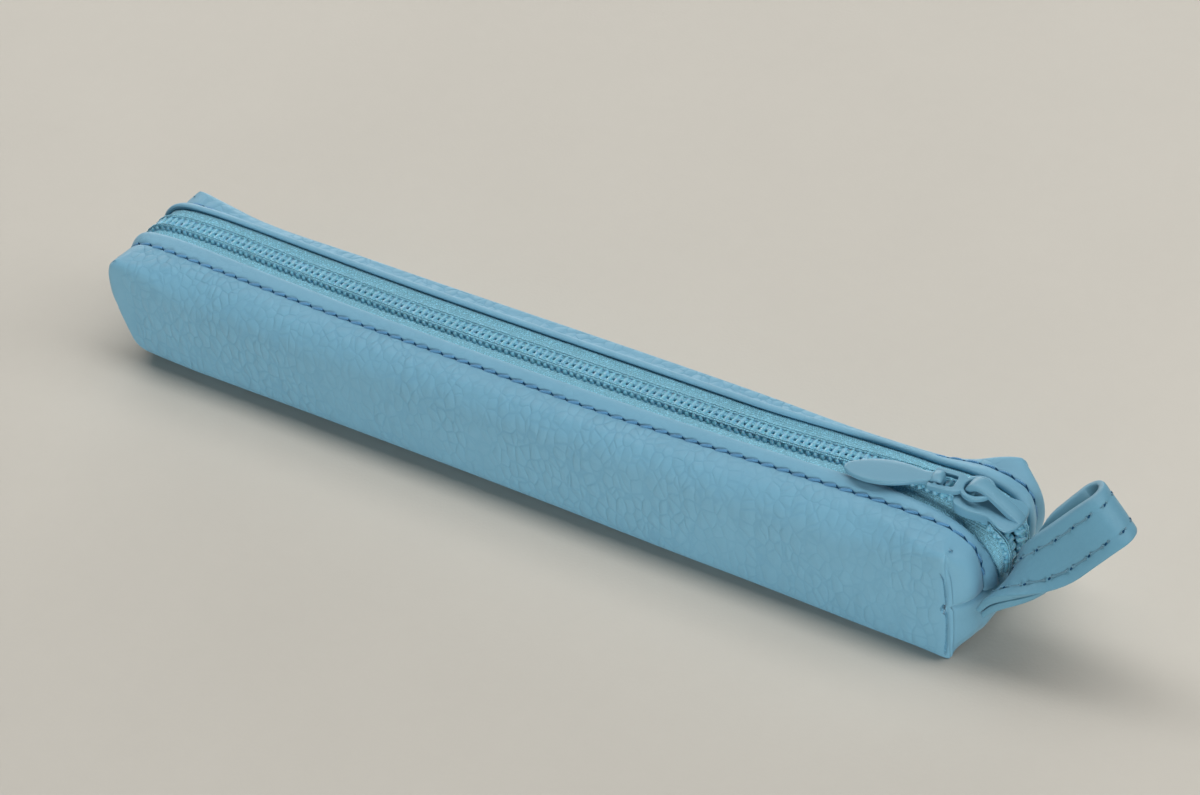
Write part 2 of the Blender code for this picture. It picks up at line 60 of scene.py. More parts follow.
# Runs of the zip band over the case, in millimetres: (run, x, y, z). The run is the distance along the
# case from its middle, and past 96 it goes down an end, to the seam at 113. Points of one run lie across
# from each other. The edges are the crowns of the turned leather beside the zip.
FRONT_STITCH = (
    (-113.2, -103.6, -7.3, 12.3), (-109.9, -103.6, -7.3, 15.8), (-105.6, -102.9, -7.2, 19.4),
    (-102.1, -101.4, -7.1, 22.4), (-99.1, -99.3, -7.0, 24.4), (-96.2, -96.4, -6.9, 25.5),
    (-90.0, -90.0, -6.9, 25.7), (-80.0, -80.0, -7.0, 25.4), (-60.0, -60.0, -7.3, 24.9),
    (-40.0, -40.0, -7.5, 24.5), (-20.0, -20.0, -7.6, 24.4), (0.0, 0.0, -7.7, 24.2),
    (20.0, 20.0, -7.9, 23.9), (40.0, 40.0, -7.6, 24.3), (60.0, 60.0, -7.4, 24.8), (80.0, 80.0, -7.3, 25.4),
    (90.0, 90.2, -7.3, 25.4), (96.2, 96.0, -7.3, 25.0), (99.1, 98.6, -7.3, 24.0),
    (102.1, 100.9, -7.3, 22.4), (105.6, 102.1, -7.3, 19.4), (109.9, 102.5, -7.3, 15.6),
    (113.2, 102.6, -7.3, 12.4))
REAR_STITCH = (
    (-113.2, -103.6, 7.8, 12.3), (-109.9, -103.7, 8.2, 15.8), (-105.6, -103.1, 8.8, 19.4),
    (-102.1, -101.6, 9.3, 22.2), (-99.1, -99.4, 9.7, 24.0), (-96.2, -96.4, 9.9, 24.9),
    (-90.0, -90.0, 9.9, 24.4), (-80.0, -80.0, 9.7, 24.1), (-60.0, -60.0, 9.5, 23.7),
    (-40.0, -40.0, 9.3, 23.5), (-20.0, -20.0, 9.2, 23.3), (0.0, 0.0, 9.1, 23.2), (40.0, 40.0, 9.0, 23.2),
    (60.0, 60.0, 9.0, 23.0), (70.0, 70.0, 9.0, 23.2), (80.0, 80.0, 9.1, 23.9), (88.0, 88.0, 9.3, 25.2),
    (94.0, 94.0, 9.3, 26.2), (97.0, 97.0, 9.3, 26.0), (100.0, 99.9, 9.3, 25.4), (103.0, 102.5, 9.2, 24.2),
    (106.0, 103.9, 9.1, 22.3), (108.5, 104.6, 8.9, 19.1), (110.8, 104.6, 8.5, 15.8),
    (113.2, 104.0, 8.0, 12.4))
FRONT_EDGE = (
    (-113.2, -104.3, -4.7, 12.3), (-109.9, -104.4, -4.6, 15.9), (-105.6, -103.8, -4.4, 19.9),
    (-102.1, -102.3, -4.1, 23.0), (-99.1, -100.2, -3.8, 25.0), (-96.2, -97.0, -3.6, 26.0),
    (-90.0, -90.0, -3.5, 26.4), (-80.0, -80.0, -3.7, 26.3), (-60.0, -60.0, -4.3, 25.9),
    (-40.0, -40.0, -4.8, 25.55), (-20.0, -20.0, -5.1, 25.4), (0.0, 0.0, -5.3, 25.3),
    (20.0, 20.0, -5.3, 25.3), (40.0, 40.0, -5.2, 25.5), (60.0, 60.0, -5.0, 25.9), (72.0, 72.0, -4.9, 26.3),
    (82.0, 82.0, -4.9, 26.6), (88.0, 88.0, -4.9, 26.1), (92.0, 92.0, -4.9, 25.6), (96.2, 95.8, -4.9, 24.6),
    (99.1, 98.0, -4.9, 23.5), (102.1, 100.3, -4.9, 21.8), (105.6, 102.3, -4.8, 19.2),
    (109.9, 103.6, -4.7, 15.5), (113.2, 103.9, -4.7, 12.4))
REAR_EDGE = (
    (-113.2, -104.3, 5.6, 12.3), (-109.9, -104.6, 6.0, 16.0), (-105.6, -104.0, 6.6, 20.0),
    (-102.1, -102.6, 7.2, 23.2), (-99.1, -100.3, 7.6, 25.2), (-96.2, -97.0, 7.8, 26.3),
    (-90.0, -90.0, 7.9, 26.8), (-80.0, -80.0, 7.8, 26.8), (-60.0, -60.0, 7.6, 26.3),
    (-40.0, -40.0, 7.3, 26.0), (-20.0, -20.0, 7.1, 25.85), (0.0, 0.0, 7.0, 25.8), (20.0, 20.0, 6.9, 25.8),
    (40.0, 40.0, 6.7, 25.9), (50.0, 50.0, 6.5, 26.1), (60.0, 60.0, 6.6, 26.4), (70.0, 70.0, 6.7, 26.7),
    (80.0, 80.0, 6.8, 26.9), (86.0, 86.2, 6.8, 26.9), (90.7, 90.7, 6.8, 27.2), (94.0, 93.8, 6.8, 27.2),
    (97.0, 96.7, 6.8, 26.8), (100.0, 99.6, 6.8, 25.9), (103.0, 102.5, 6.8, 24.3), (106.0, 104.8, 6.7, 22.1),
    (108.5, 105.4, 6.5, 18.8), (110.8, 105.2, 6.2, 15.6), (113.2, 104.5, 5.8, 12.4))
COIL_TOP = (
    (-113.2, -104.5, 0.2, 12.3), (-109.9, -104.4, 0.5, 16.2), (-105.6, -103.4, 0.8, 20.4),
    (-102.1, -101.6, 1.1, 23.3), (-99.1, -99.3, 1.3, 25.2), (-96.2, -96.2, 1.4, 26.2),
    (-90.0, -90.0, 1.6, 26.6), (-80.0, -80.0, 1.6, 26.6), (-60.0, -60.0, 1.0, 26.1),
    (-40.0, -40.0, 0.6, 25.7), (-20.0, -20.0, 0.4, 25.55), (0.0, 0.0, 0.4, 25.5), (30.0, 30.0, 0.4, 25.5),
    (50.0, 50.0, 0.45, 25.55), (60.0, 60.0, 0.5, 25.85), (70.0, 70.0, 0.55, 26.45),
    (80.0, 80.0, 0.6, 27.05), (88.0, 88.0, 0.6, 27.3), (94.0, 94.0, 0.4, 27.0), (98.5, 98.2, 0.2, 25.7),
    (103.0, 102.4, 0.0, 24.1), (105.8, 105.0, 0.0, 22.0), (108.6, 105.8, 0.0, 19.0),
    (111.0, 105.6, 0.0, 15.6), (113.2, 104.8, 0.0, 12.4))
BANDS = {-1: (FRONT_STITCH, FRONT_EDGE), 1: (REAR_STITCH, REAR_EDGE)}
SIDES = (("front", -1), ("rear", 1))
TOP_END, RUN_END = 96.2, 113.2   # the band turns down an end, and meets the end's seam
SPLIT = 6.0                      # the two halves of each turned edge meet here
HALVES = (("far", -RUN_END, SPLIT), ("near", SPLIT, RUN_END))
OPEN_FROM = 99.5                 # past the slider's nose the two coil rows part


# Settings

class PenCaseSizes(bpy.types.PropertyGroup):
    """Sizes that a user would change."""
    stitch_length: bpy.props.FloatProperty(
        name="Stitch length", description="Length of one topstitch", default=0.00335, min=0.001,
        subtype="DISTANCE", unit="LENGTH")
    thread_radius: bpy.props.FloatProperty(
        name="Thread radius", description="Half the thickness of the sewing thread", default=0.0003,
        min=0.0001, subtype="DISTANCE", unit="LENGTH")
    coil_pitch: bpy.props.FloatProperty(
        name="Coil pitch", description="Distance between two turns of the zip's coil", default=0.00157,
        min=0.0005, subtype="DISTANCE", unit="LENGTH")
    coil_wire: bpy.props.FloatProperty(
        name="Coil wire", description="Radius of the coil's nylon wire", default=0.0005, min=0.0001,
        subtype="DISTANCE", unit="LENGTH")
    wall: bpy.props.FloatProperty(
        name="Leather wall", description="Thickness of the leather with its backing", default=0.0014,
        min=0.0005, subtype="DISTANCE", unit="LENGTH")
    pebble: bpy.props.FloatProperty(
        name="Pebble size", description="Width of one pebble of the grain", default=0.0021, min=0.0002,
        subtype="DISTANCE", unit="LENGTH")


class PenCaseColours(bpy.types.PropertyGroup):
    """Colours that a user would change."""
    leather: bpy.props.FloatVectorProperty(
        name="Leather", description="Colour of the pebbled leather", subtype="COLOR", size=3, min=0, max=1,
        default=(0.161, 0.366, 0.495))
    strap: bpy.props.FloatVectorProperty(
        name="Strap", description="Colour of the wrist loop's leather", subtype="COLOR", size=3, min=0, max=1,
        default=(0.115, 0.285, 0.385))
    tape: bpy.props.FloatVectorProperty(
        name="Zip tape", description="Colour of the woven tape", subtype="COLOR", size=3, min=0, max=1,
        default=(0.21, 0.5, 0.63))
    coil: bpy.props.FloatVectorProperty(
        name="Zip coil", description="Colour of the nylon coil", subtype="COLOR", size=3, min=0, max=1,
        default=(0.18, 0.46, 0.6))
    paint: bpy.props.FloatVectorProperty(
        name="Slider paint", description="Colour of the painted slider and pull", subtype="COLOR", size=3,
        min=0, max=1, default=(0.13, 0.31, 0.42))
    thread: bpy.props.FloatVectorProperty(
        name="Thread", description="Colour of the sewing thread", subtype="COLOR", size=3, min=0, max=1,
        default=(0.087, 0.27, 0.475))
    floor: bpy.props.FloatVectorProperty(
        name="Floor", description="Colour of the stage floor", subtype="COLOR", size=3, min=0, max=1,
        default=(0.575, 0.545, 0.485))


def sizes():
    return bpy.context.scene.pen_case_sizes


def colours():
    return bpy.context.scene.pen_case_colours


# Smooth curves and meshes

def smooth(value):
    """A share from 0 to 1 that starts and ends softly."""
    value = min(1.0, max(0.0, value))
    return value * value * (3 - 2 * value)


def rail(table, run):
    """A point in millimetres on a run of the zip band, by a smooth curve through its table."""
    knots = np.array([row[0] for row in table])
    places = np.array([row[1:] for row in table], float)
    i = int(np.clip(np.searchsorted(knots, run) - 1, 0, len(knots) - 2))
    slopes = []
    for k in (i, i + 1):
        a, b = max(k - 1, 0), min(k + 1, len(knots) - 1)
        slopes.append((places[b] - places[a]) / (knots[b] - knots[a]))
    gap = knots[i + 1] - knots[i]
    t = (run - knots[i]) / gap
    return ((2 * t ** 3 - 3 * t ** 2 + 1) * places[i] + (t ** 3 - 2 * t ** 2 + t) * gap * slopes[0]
            + (3 * t ** 2 - 2 * t ** 3) * places[i + 1] + (t ** 3 - t ** 2) * gap * slopes[1])


def unit(vector):
    return vector / np.linalg.norm(vector)


def heading(table, run):
    """The direction of the zip band at a run."""
    return unit(rail(table, min(run + 0.3, RUN_END)) - rail(table, max(run - 0.3, -RUN_END)))


def runs_between(start, end, step):
    """Evenly spaced runs, about a step apart."""
    count = max(2, int(round(abs(end - start) / step)))
    return [start + (end - start) * i / count for i in range(count + 1)]


def circle(count):
    """Cosine and sine at evenly spaced places round a circle."""
    angles = [2 * math.pi * k / count for k in range(count)]
    return [(math.cos(angle), math.sin(angle)) for angle in angles]


def boxed(value, power):
    """A cosine or sine bent by a power below 1, so that the circle it draws is squarer."""
    return math.copysign(abs(value) ** power, value)


def finished(bm, name):
    mesh = bpy.data.meshes.new(name)
    bm.to_mesh(mesh)
    bm.free()
    mesh.shade_smooth()
    return mesh


def add_band(bm, ring, following):
    """Faces from one ring of vertices to the next."""
    for index in range(len(ring)):
        after = (index + 1) % len(ring)
        bm.faces.new((ring[index], ring[after], following[after], following[index]))


def skin_mesh(name, rings, capped=True, closed=False):
    """A skin over rings of points in millimetres, with flat caps, or closed from the last to the first."""
    bm = bmesh.new()
    grid = [[bm.verts.new(Vector(point) * MM) for point in ring] for ring in rings]
    for ring, following in zip(grid, grid[1:] + grid[:1] if closed else grid[1:]):
        add_band(bm, ring, following)
    bmesh.ops.recalc_face_normals(bm, faces=bm.faces)
    if capped:
        for end, inner in ((0, 1), (-1, -2)):
            cap = bm.faces.new(grid[end])
            cap.normal_update()
            if cap.normal.dot(Vector(rings[inner][0]) - Vector(rings[end][0])) > 0:
                cap.normal_flip()
            for edge in cap.edges:
                edge.smooth = False
    return finished(bm, name)


def add_tube(bm, path, radius, sides):
    """One tube along a path in millimetres; the radius is one size, or a size for each point."""
    points = np.array(path, float)
    up = np.array((0.0, 0.0, 1.0))
    rings = []
    for point, along, size in zip(points, np.gradient(points, axis=0), np.broadcast_to(radius, len(points))):
        along = unit(along)
        if abs(along @ up) > 0.95:
            up = np.array((0.0, 1.0, 0.0))
        side = unit(np.cross(along, up))
        up = unit(np.cross(side, along))
        rings.append([bm.verts.new(Vector(point + size * (c * side + s * up)) * MM)
                      for c, s in circle(sides)])
    for ring, following in zip(rings, rings[1:]):
        add_band(bm, ring, following)
    bm.faces.new(rings[0])
    bm.faces.new(rings[-1])


def tube_mesh(name, paths, radius, sides):
    """Round tubes along paths in millimetres, capped at both ends."""
    bm = bmesh.new()
    for path in paths:
        add_tube(bm, path, radius, sides)
    bmesh.ops.recalc_face_normals(bm, faces=bm.faces)
    return finished(bm, name)


def join(meshes, name):
    bm = bmesh.new()
    for mesh in meshes:
        bm.from_mesh(mesh)
        bpy.data.meshes.remove(mesh)
    return finished(bm, name)


def add_piece(name, mesh, material, body=None):
    piece = bpy.data.objects.new(name, mesh)
    bpy.context.scene.collection.objects.link(piece)
    mesh.materials.clear()
    mesh.materials.append(material)
    if body:
        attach(piece, body)
    return piece


def add_modifier(piece, name, kind, **values):
    modifier = piece.modifiers.new(name, kind)
    for key, value in values.items():
        setattr(modifier, key, value)


# Shader groups

groups = {}
finishes = {}


class Nodes:
    """A short way to place and link the nodes of one tree."""

    def __init__(self, tree):
        self.tree = tree

    def link(self, value, socket):
        self.tree.links.new(value, socket)

    def add(self, kind, links=None, **values):
        node = self.tree.nodes.new(kind)
        for key, value in values.items():
            setattr(node, key, value)
        for key, value in (links or {}).items():
            if isinstance(value, bpy.types.NodeSocket):
                self.link(value, node.inputs[key])
            else:
                node.inputs[key].default_value = value
        return node

    def maths(self, operation, a, b=0.0):
        return self.add("ShaderNodeMath", {0: a, 1: b}, operation=operation).outputs[0]

    def plus(self, a, b):
        return self.maths("ADD", a, b)

    def minus(self, a, b):
        return self.maths("SUBTRACT", a, b)

    def times(self, a, b):
        return self.maths("MULTIPLY", a, b)

    def vectors(self, operation, a, b):
        return self.add("ShaderNodeVectorMath", {0: a, 1: b}, operation=operation).outputs[0]

    def parts(self, vector):
        return self.add("ShaderNodeSeparateXYZ", {"Vector": vector}).outputs

    def clouds(self, place, scale, detail, distortion=0.0):
        """Noise from 0 to 1."""
        return self.add("ShaderNodeTexNoise", {"Vector": place, "Scale": scale, "Detail": detail,
                                               "Distortion": distortion}).outputs["Fac"]

    def cells(self, feature, place, scale, **values):
        """Distance to the middle or the edge of scattered cells."""
        return self.add("ShaderNodeTexVoronoi", {"Vector": place, "Scale": scale, **values},
                        feature=feature).outputs["Distance"]

    def ramp(self, factor, low, high, from_value=0.0, to_value=1.0):
        return self.add("ShaderNodeMapRange", {"Value": factor, "From Min": low, "From Max": high,
                                               "To Min": from_value, "To Max": to_value},
                        interpolation_type="SMOOTHSTEP").outputs["Result"]

    def mix(self, factor, a, b):
        return self.add("ShaderNodeMix", {0: factor, 6: a, 7: b}, data_type="RGBA").outputs[2]

    def group(self, name, place, **values):
        """The outputs of a shader group, placed with its own values."""
        named = {label.replace("_", " "): value for label, value in values.items()}
        return self.add("ShaderNodeGroup", {"Position": place, **named}, node_tree=groups[name]).outputs


def new_group(name, values, outputs):
    """A shader node group that takes a position and values, and puts out values."""
    tree = bpy.data.node_groups.new(name, "ShaderNodeTree")
    tree.interface.new_socket("Position", in_out="INPUT", socket_type="NodeSocketVector")
    for label, value in values.items():
        socket = tree.interface.new_socket(label, in_out="INPUT", socket_type="NodeSocketFloat")
        socket.default_value = value
    for label in outputs:
        tree.interface.new_socket(label, in_out="OUTPUT", socket_type="NodeSocketFloat")
    nodes = Nodes(tree)
    return tree, nodes, nodes.add("NodeGroupInput").outputs, nodes.add("NodeGroupOutput").inputs


def pebbled_grain():
    """Leather grain: low soft pebbles between fine creases that come and go, with pores."""
    tree, nodes, given, result = new_group("Pebbled Grain", {"Pebble Size": 0.002, "Crease Depth": 1.0},
                                           ("Height", "Crease"))
    warp = nodes.add("ShaderNodeTexNoise", {"Vector": given["Position"], "Scale": 170.0, "Detail": 2.0})
    bent = nodes.vectors("SUBTRACT", warp.outputs["Color"], (0.5, 0.5, 0.5))
    eased = nodes.vectors("MULTIPLY", bent, (0.0022, 0.0022, 0.0022))
    place = nodes.vectors("MULTIPLY", nodes.vectors("ADD", given["Position"], eased), (1.0, 1.0, 0.6))
    scale = nodes.maths("DIVIDE", 1.0, given["Pebble Size"])
    dome = nodes.ramp(nodes.cells("SMOOTH_F1", place, scale, Randomness=0.85, Smoothness=0.22),
                      0.18, 0.72, 1.0, 0.0)
    crease = nodes.ramp(nodes.cells("DISTANCE_TO_EDGE", place, scale, Randomness=0.85), 0.0, 0.13, 1.0, 0.0)
    small = nodes.cells("SMOOTH_F1", place, nodes.times(scale, 2.3), Smoothness=0.4)
    pores = nodes.clouds(given["Position"], 3600.0, 1.0)
    patches = nodes.ramp(nodes.clouds(place, 70.0, 1.0), 0.3, 0.7, 0.4, 1.0)
    depth = nodes.times(patches, given["Crease Depth"])
    deep = nodes.times(crease, depth)
    height = nodes.minus(nodes.times(dome, depth), nodes.times(deep, 0.36))
    height = nodes.minus(height, nodes.times(nodes.times(small, given["Crease Depth"]), 0.16))
    nodes.link(nodes.plus(height, nodes.times(pores, 0.05)), result["Height"])
    # the crease mask: it roughens the creases, and the leather material uses it to colour them darker as
    # painted shade
    nodes.link(deep, result["Crease"])
    return tree


def woven_cloth():
    """A twill weave: slanted ribs crossed by yarns, with fuzz."""
    tree, nodes, given, result = new_group("Woven Cloth", {"Yarn Width": 0.0004, "Flip Width": 0.0011},
                                           ("Height", "Gap", "Fuzz"))
    parts = nodes.parts(given["Position"])
    along = nodes.plus(parts["X"], nodes.times(parts["Z"], -0.8))
    fold = nodes.maths("PINGPONG", parts["Y"], given["Flip Width"])
    slant = nodes.plus(along, nodes.times(fold, 0.9))
    turn = nodes.maths("DIVIDE", 6.2832, given["Yarn Width"])
    ribs = nodes.maths("SINE", nodes.times(slant, turn))
    yarns = nodes.maths("SINE", nodes.times(parts["Y"], turn))
    fuzz = nodes.clouds(given["Position"], 3000.0, 2.0)
    height = nodes.plus(nodes.plus(nodes.times(ribs, 0.6), nodes.times(yarns, 0.4)), fuzz)
    nodes.link(height, result["Height"])
    nodes.link(nodes.ramp(height, -0.7, 0.5, 1.0, 0.0), result["Gap"])
    nodes.link(fuzz, result["Fuzz"])
    return tree


def handling_wear():
    """Slow changes of colour and gloss from handling."""
    tree, nodes, given, result = new_group("Handling Wear", {"Amount": 1.0}, ("Tone", "Gloss"))
    slow = nodes.clouds(given["Position"], 30.0, 4.0)
    quick = nodes.clouds(given["Position"], 240.0, 3.0)
    both = nodes.plus(nodes.times(slow, 0.7), nodes.times(quick, 0.3))
    tone = nodes.times(nodes.minus(both, 0.5), given["Amount"])
    nodes.link(tone, result["Tone"])
    nodes.link(nodes.times(tone, -0.6), result["Gloss"])
    return tree


def make_groups():
    groups["grain"] = pebbled_grain()
    groups["weave"] = woven_cloth()
    groups["wear"] = handling_wear()


# Materials

def start_material(name, colour, roughness, **inputs):
    """A material with its Principled shader, and the object's own coordinates."""
    material = bpy.data.materials.new(name)
    material.use_nodes = True
    nodes = Nodes(material.node_tree)
    shader = material.node_tree.nodes["Principled BSDF"].inputs
    shader["Base Color"].default_value = (*colour, 1.0)
    shader["Roughness"].default_value = roughness
    for label, value in inputs.items():
        shader[label.replace("_", " ")].default_value = value
    return material, nodes, shader, nodes.add("ShaderNodeTexCoord").outputs["Object"]


def shade(colour, factor, lift=0.0):
    return (*(min(1.0, c * factor + lift) for c in colour), 1.0)


def toned(nodes, place, colour, amount):
    """The colour, made a little lighter and darker from place to place, and its change of gloss."""
    wear = nodes.group("wear", place, Amount=amount)
    factor = nodes.plus(wear["Tone"], 0.5)
    return nodes.mix(factor, shade(colour, 0.75), shade(colour, 1.25)), wear["Gloss"]


def bump(nodes, shader, height, distance):
    raised = nodes.add("ShaderNodeBump", {"Height": height, "Distance": distance})
    nodes.link(raised.outputs["Normal"], shader["Normal"])


def worked_leather(nodes, place, parts, walls, height):
    """The grain of the body with slack, fine lines near one end, and puckers between the stitches."""
    stretched = nodes.vectors("MULTIPLY", place, (1.0, 1.0, 0.3))
    lines = nodes.maths("ABSOLUTE", nodes.minus(nodes.clouds(stretched, 190.0, 2.0, 0.35), 0.5))
    near = nodes.times(nodes.ramp(parts["X"], 0.05, 0.08), walls)
    creased = nodes.times(nodes.ramp(lines, 0.0, 0.1, 1.0, 0.0), near)
    height = nodes.minus(height, nodes.times(creased, 0.2))
    phase = nodes.times(nodes.minus(parts["X"], SPLIT * MM), 2 * math.pi / sizes().stitch_length)
    pucker = nodes.times(nodes.maths("COSINE", phase), nodes.ramp(parts["Z"], 0.0185, 0.0242))
    height = nodes.plus(height, nodes.times(nodes.times(pucker, walls), -0.16))
    return nodes.plus(height, nodes.times(nodes.clouds(stretched, 75.0, 1.0), 0.8))


def leather_material(name, colour, pebble, depth, distance, body=False):
    """Satin leather. On the body the grain fades at the ends, and wear and stitching work it. The grain's
    creases get painted shade.
    """
    material, nodes, shader, place = start_material(name, colour, 0.54, Specular_IOR_Level=0.3,
                                                    Sheen_Weight=0.1, Sheen_Roughness=0.5)
    if body:
        parts = nodes.parts(place)
        walls = nodes.ramp(nodes.maths("ABSOLUTE", parts["X"]), 0.0945, 0.0985, 1.0, 0.12)
        grain = nodes.group("grain", place, Pebble_Size=pebble, Crease_Depth=nodes.times(walls, depth))
        height = worked_leather(nodes, place, parts, walls, grain["Height"])
    else:
        grain = nodes.group("grain", place, Pebble_Size=pebble, Crease_Depth=depth)
        height = grain["Height"]
    tone, gloss = toned(nodes, place, colour, 0.4)
    # painted shade: the grain's creases are coloured darker, standing in for the shade that falls in them
    crease_shade = (*(c * f for c, f in zip(colour, (0.66, 0.78, 0.86))), 1.0)
    nodes.link(nodes.mix(nodes.times(grain["Crease"], 0.34), tone, crease_shade), shader["Base Color"])
    rough = nodes.plus(nodes.times(grain["Crease"], 0.15), 0.52)
    nodes.link(nodes.plus(rough, gloss), shader["Roughness"])
    bump(nodes, shader, height, distance)
    return material


def cloth_material(name, colour, yarn, flip, gap_shade_share):
    """Woven cloth, with painted shade between its yarns, and pale flecks where it is fuzzy that are painted
    highlights for the glints of the yarn.
    """
    material, nodes, shader, place = start_material(name, colour, 0.85, Specular_IOR_Level=0.25,
                                                    Sheen_Weight=0.3, Sheen_Roughness=0.4)
    weave = nodes.group("weave", place, Yarn_Width=yarn, Flip_Width=flip)
    tone, _ = toned(nodes, place, colour, 0.6)
    # painted shade: the gaps between the yarns are coloured darker
    woven = nodes.mix(nodes.times(weave["Gap"], gap_shade_share), tone, shade(colour, 0.45))
    # painted highlights: pale flecks on the fuzz stand in for the glints of the yarn
    glint_flecks = nodes.ramp(weave["Fuzz"], 0.5, 0.66, 0.0, 0.65)
    nodes.link(nodes.mix(glint_flecks, woven, shade(colour, 1.5, 0.03)), shader["Base Color"])
    bump(nodes, shader, weave["Height"], 0.00006)
    return material


def nylon_material(name, colour):
    material, nodes, shader, place = start_material(name, colour, 0.36, Specular_IOR_Level=0.5,
                                                    Subsurface_Weight=0.15, Subsurface_Scale=0.0006)
    tone, gloss = toned(nodes, place, colour, 0.7)
    nodes.link(tone, shader["Base Color"])
    nodes.link(nodes.plus(gloss, 0.36), shader["Roughness"])
    bump(nodes, shader, nodes.clouds(place, 2600.0, 2.0), 0.00002)
    return material


def paint_material(name, colour):
    """Satin paint with faint pale rubbed spots."""
    material, nodes, shader, place = start_material(name, colour, 0.42, Specular_IOR_Level=0.38)
    tone, gloss = toned(nodes, place, colour, 0.3)
    rubbed = nodes.ramp(nodes.clouds(place, 900.0, 3.0), 0.66, 0.78, 0.0, 0.25)
    nodes.link(nodes.mix(rubbed, tone, shade(colour, 1.3, 0.05)), shader["Base Color"])
    nodes.link(nodes.plus(gloss, 0.42), shader["Roughness"])
    bump(nodes, shader, nodes.clouds(place, 1500.0, 1.0), 0.000018)
    return material


def thread_material(name, colour):
    material, nodes, shader, place = start_material(name, colour, 0.6, Specular_IOR_Level=0.3,
                                                    Sheen_Weight=0.25)
    nodes.link(toned(nodes, place, colour, 1.2)[0], shader["Base Color"])
    parts = nodes.parts(place)
    slant = nodes.plus(nodes.plus(parts["X"], parts["Y"]), parts["Z"])
    bump(nodes, shader, nodes.maths("SINE", nodes.times(slant, 16000.0)), 0.00003)
    return material


# The needle holes' flat dark colour is painted shade, for the shade inside the holes.
def hole_shade_material(name, colour):
    material, nodes, shader, place = start_material(name, colour, 0.9, Specular_IOR_Level=0.1)
    nodes.link(toned(nodes, place, colour, 1.5)[0], shader["Base Color"])
    return material


def floor_material(name, colour):
    material, nodes, shader, place = start_material(name, colour, 0.9, Specular_IOR_Level=0.1)
    nodes.link(toned(nodes, place, colour, 0.12)[0], shader["Base Color"])
    bump(nodes, shader, nodes.clouds(place, 1400.0, 2.0), 0.00003)
    return material


def make_finishes():
    tint = colours()
    pebble = sizes().pebble
    leather = tuple(tint.leather)
    finishes["leather"] = leather_material("Pebbled Leather", leather, pebble, 1.0, 0.00016, body=True)
    finishes["edge"] = leather_material("Turned Edge Leather", leather, pebble * 0.8, 0.35, 0.0001)
    finishes["strap"] = leather_material("Strap Leather", tuple(tint.strap), pebble * 0.5, 0.2, 0.00008)
    finishes["tape"] = cloth_material("Zip Tape Weave", tuple(tint.tape), 0.00042, 0.0011, 0.75)
    finishes["lining"] = cloth_material("Lining Weave", (0.11, 0.3, 0.44), 0.0005, 0.002, 0.4)
    finishes["coil"] = nylon_material("Coil Nylon", tuple(tint.coil))
    finishes["paint"] = paint_material("Slider Paint", tuple(tint.paint))
    finishes["thread"] = thread_material("Sewing Thread", tuple(tint.thread))
    finishes["strap_thread"] = thread_material("Strap Thread", shade(tint.strap, 0.82)[:3])
    # painted shade for the needle holes
    finishes["hole"] = hole_shade_material("Needle Hole Painted Shade", (0.01, 0.055, 0.12))


# The leather body, in millimetres: across is from the middle of the case, up from its base

HALF_LENGTH, HALF_WIDTH, HEIGHT, MIDDLE = 100.0, 14.8, 25.0, 12.5
EDGE_BOW, CROWN_BOW = 4.0, 4.9   # how far an end panel bows, at the base and at its seam
SHOULDER, SHARP_SHOULDER = 8.0, 1.6
EAR = 23.0                       # within this of an end the front shoulder sharpens
ACROSS_STITCH = {-1: 7.3, 1: 9.3}
CREASE = 13.7                    # the upright creases of an end panel
FOLD, FOLD_WIDE = 13.5, 1.3      # the turned upright edge of a corner, across
FOLD_LONG, END_CROWN = 1.8, 104.0     # its length along the wall, and how far the ends reach
RIPPLE = 0.16                    # height of the walls' slow ripple
TOP_SHARES = (0.0, 0.03, 0.08, 0.16, 0.28, 0.43, 0.6, 0.8, 1.0)
CORNER_COLUMNS = (13.35, 13.55, 13.7, 13.85, 14.0, 14.35, 14.8)
UPPER_SHARES = (0.0, 0.03, 0.08, 0.15, 0.22, 0.3, 0.38, 0.46, 0.54, 0.62, 0.7, 0.78, 0.86, 0.92, 0.96,
                0.985, 1.0)
LOWER_SHARES = (0.0, 0.015, 0.04, 0.1, 0.18, 0.26, 0.34, 0.42, 0.5, 0.58, 0.66, 0.74, 0.82, 0.9, 1.0)
NEAR_RUNS = (0.0, 12, 24, 36, 46, 54, 61, 67, 72, 76, 79.5, 82.5, 85, 87.2, 89, 90.6, 92, 93.2, 94.2, 95.1,
             95.7, TOP_END)
REAR_SHOULDER = ((-96, 1.2), (-90, 3.1), (-80, 6.2), (-70, 7.4), (-20, 7.8), (20, 8.2), (45, 9.0),
                 (60, 10.3), (72, 10.0), (82, 9.2), (87, 7.8), (92, 4.2), (96, 1.2))
LOWER_EDGE = ((-96, 5.0), (-88, 4.4), (-79, 3.9), (-50, 4.2), (-14, 4.0), (10, 3.6), (33, 2.6), (56, 2.3),
              (67, 1.8), (78, 1.4), (90, 1.2), (95, 0.6))
FAR_CORNER = ((0, -2.6), (2, -2.1), (5, -0.7), (9.8, 0.8), (15.5, 2.0), (20.8, 1.9), (22.9, 1.2), (25, -0.3))


def end_reach(across, up):
    """How far an end reaches, at shares of the half width and of the way from its seam to the base or top."""
    edge = HALF_LENGTH - EDGE_BOW * (1 - abs(across) ** 4)
    crown = HALF_LENGTH + CROWN_BOW * (1 - abs(across) ** 3)
    return edge + (crown - edge) * math.sqrt(max(0.0, 1 - up * up))


def share_along(run):
    """The way of a run from the middle of the case to its end, from 0 to 1."""
    return min(1.0, abs(run) / TOP_END)


def run_angle(run):
    """The angle down the end's curve, from 0 at the top to a quarter turn at the seam."""
    return math.pi / 2 * max(0.0, (abs(run) - TOP_END) / (RUN_END - TOP_END))


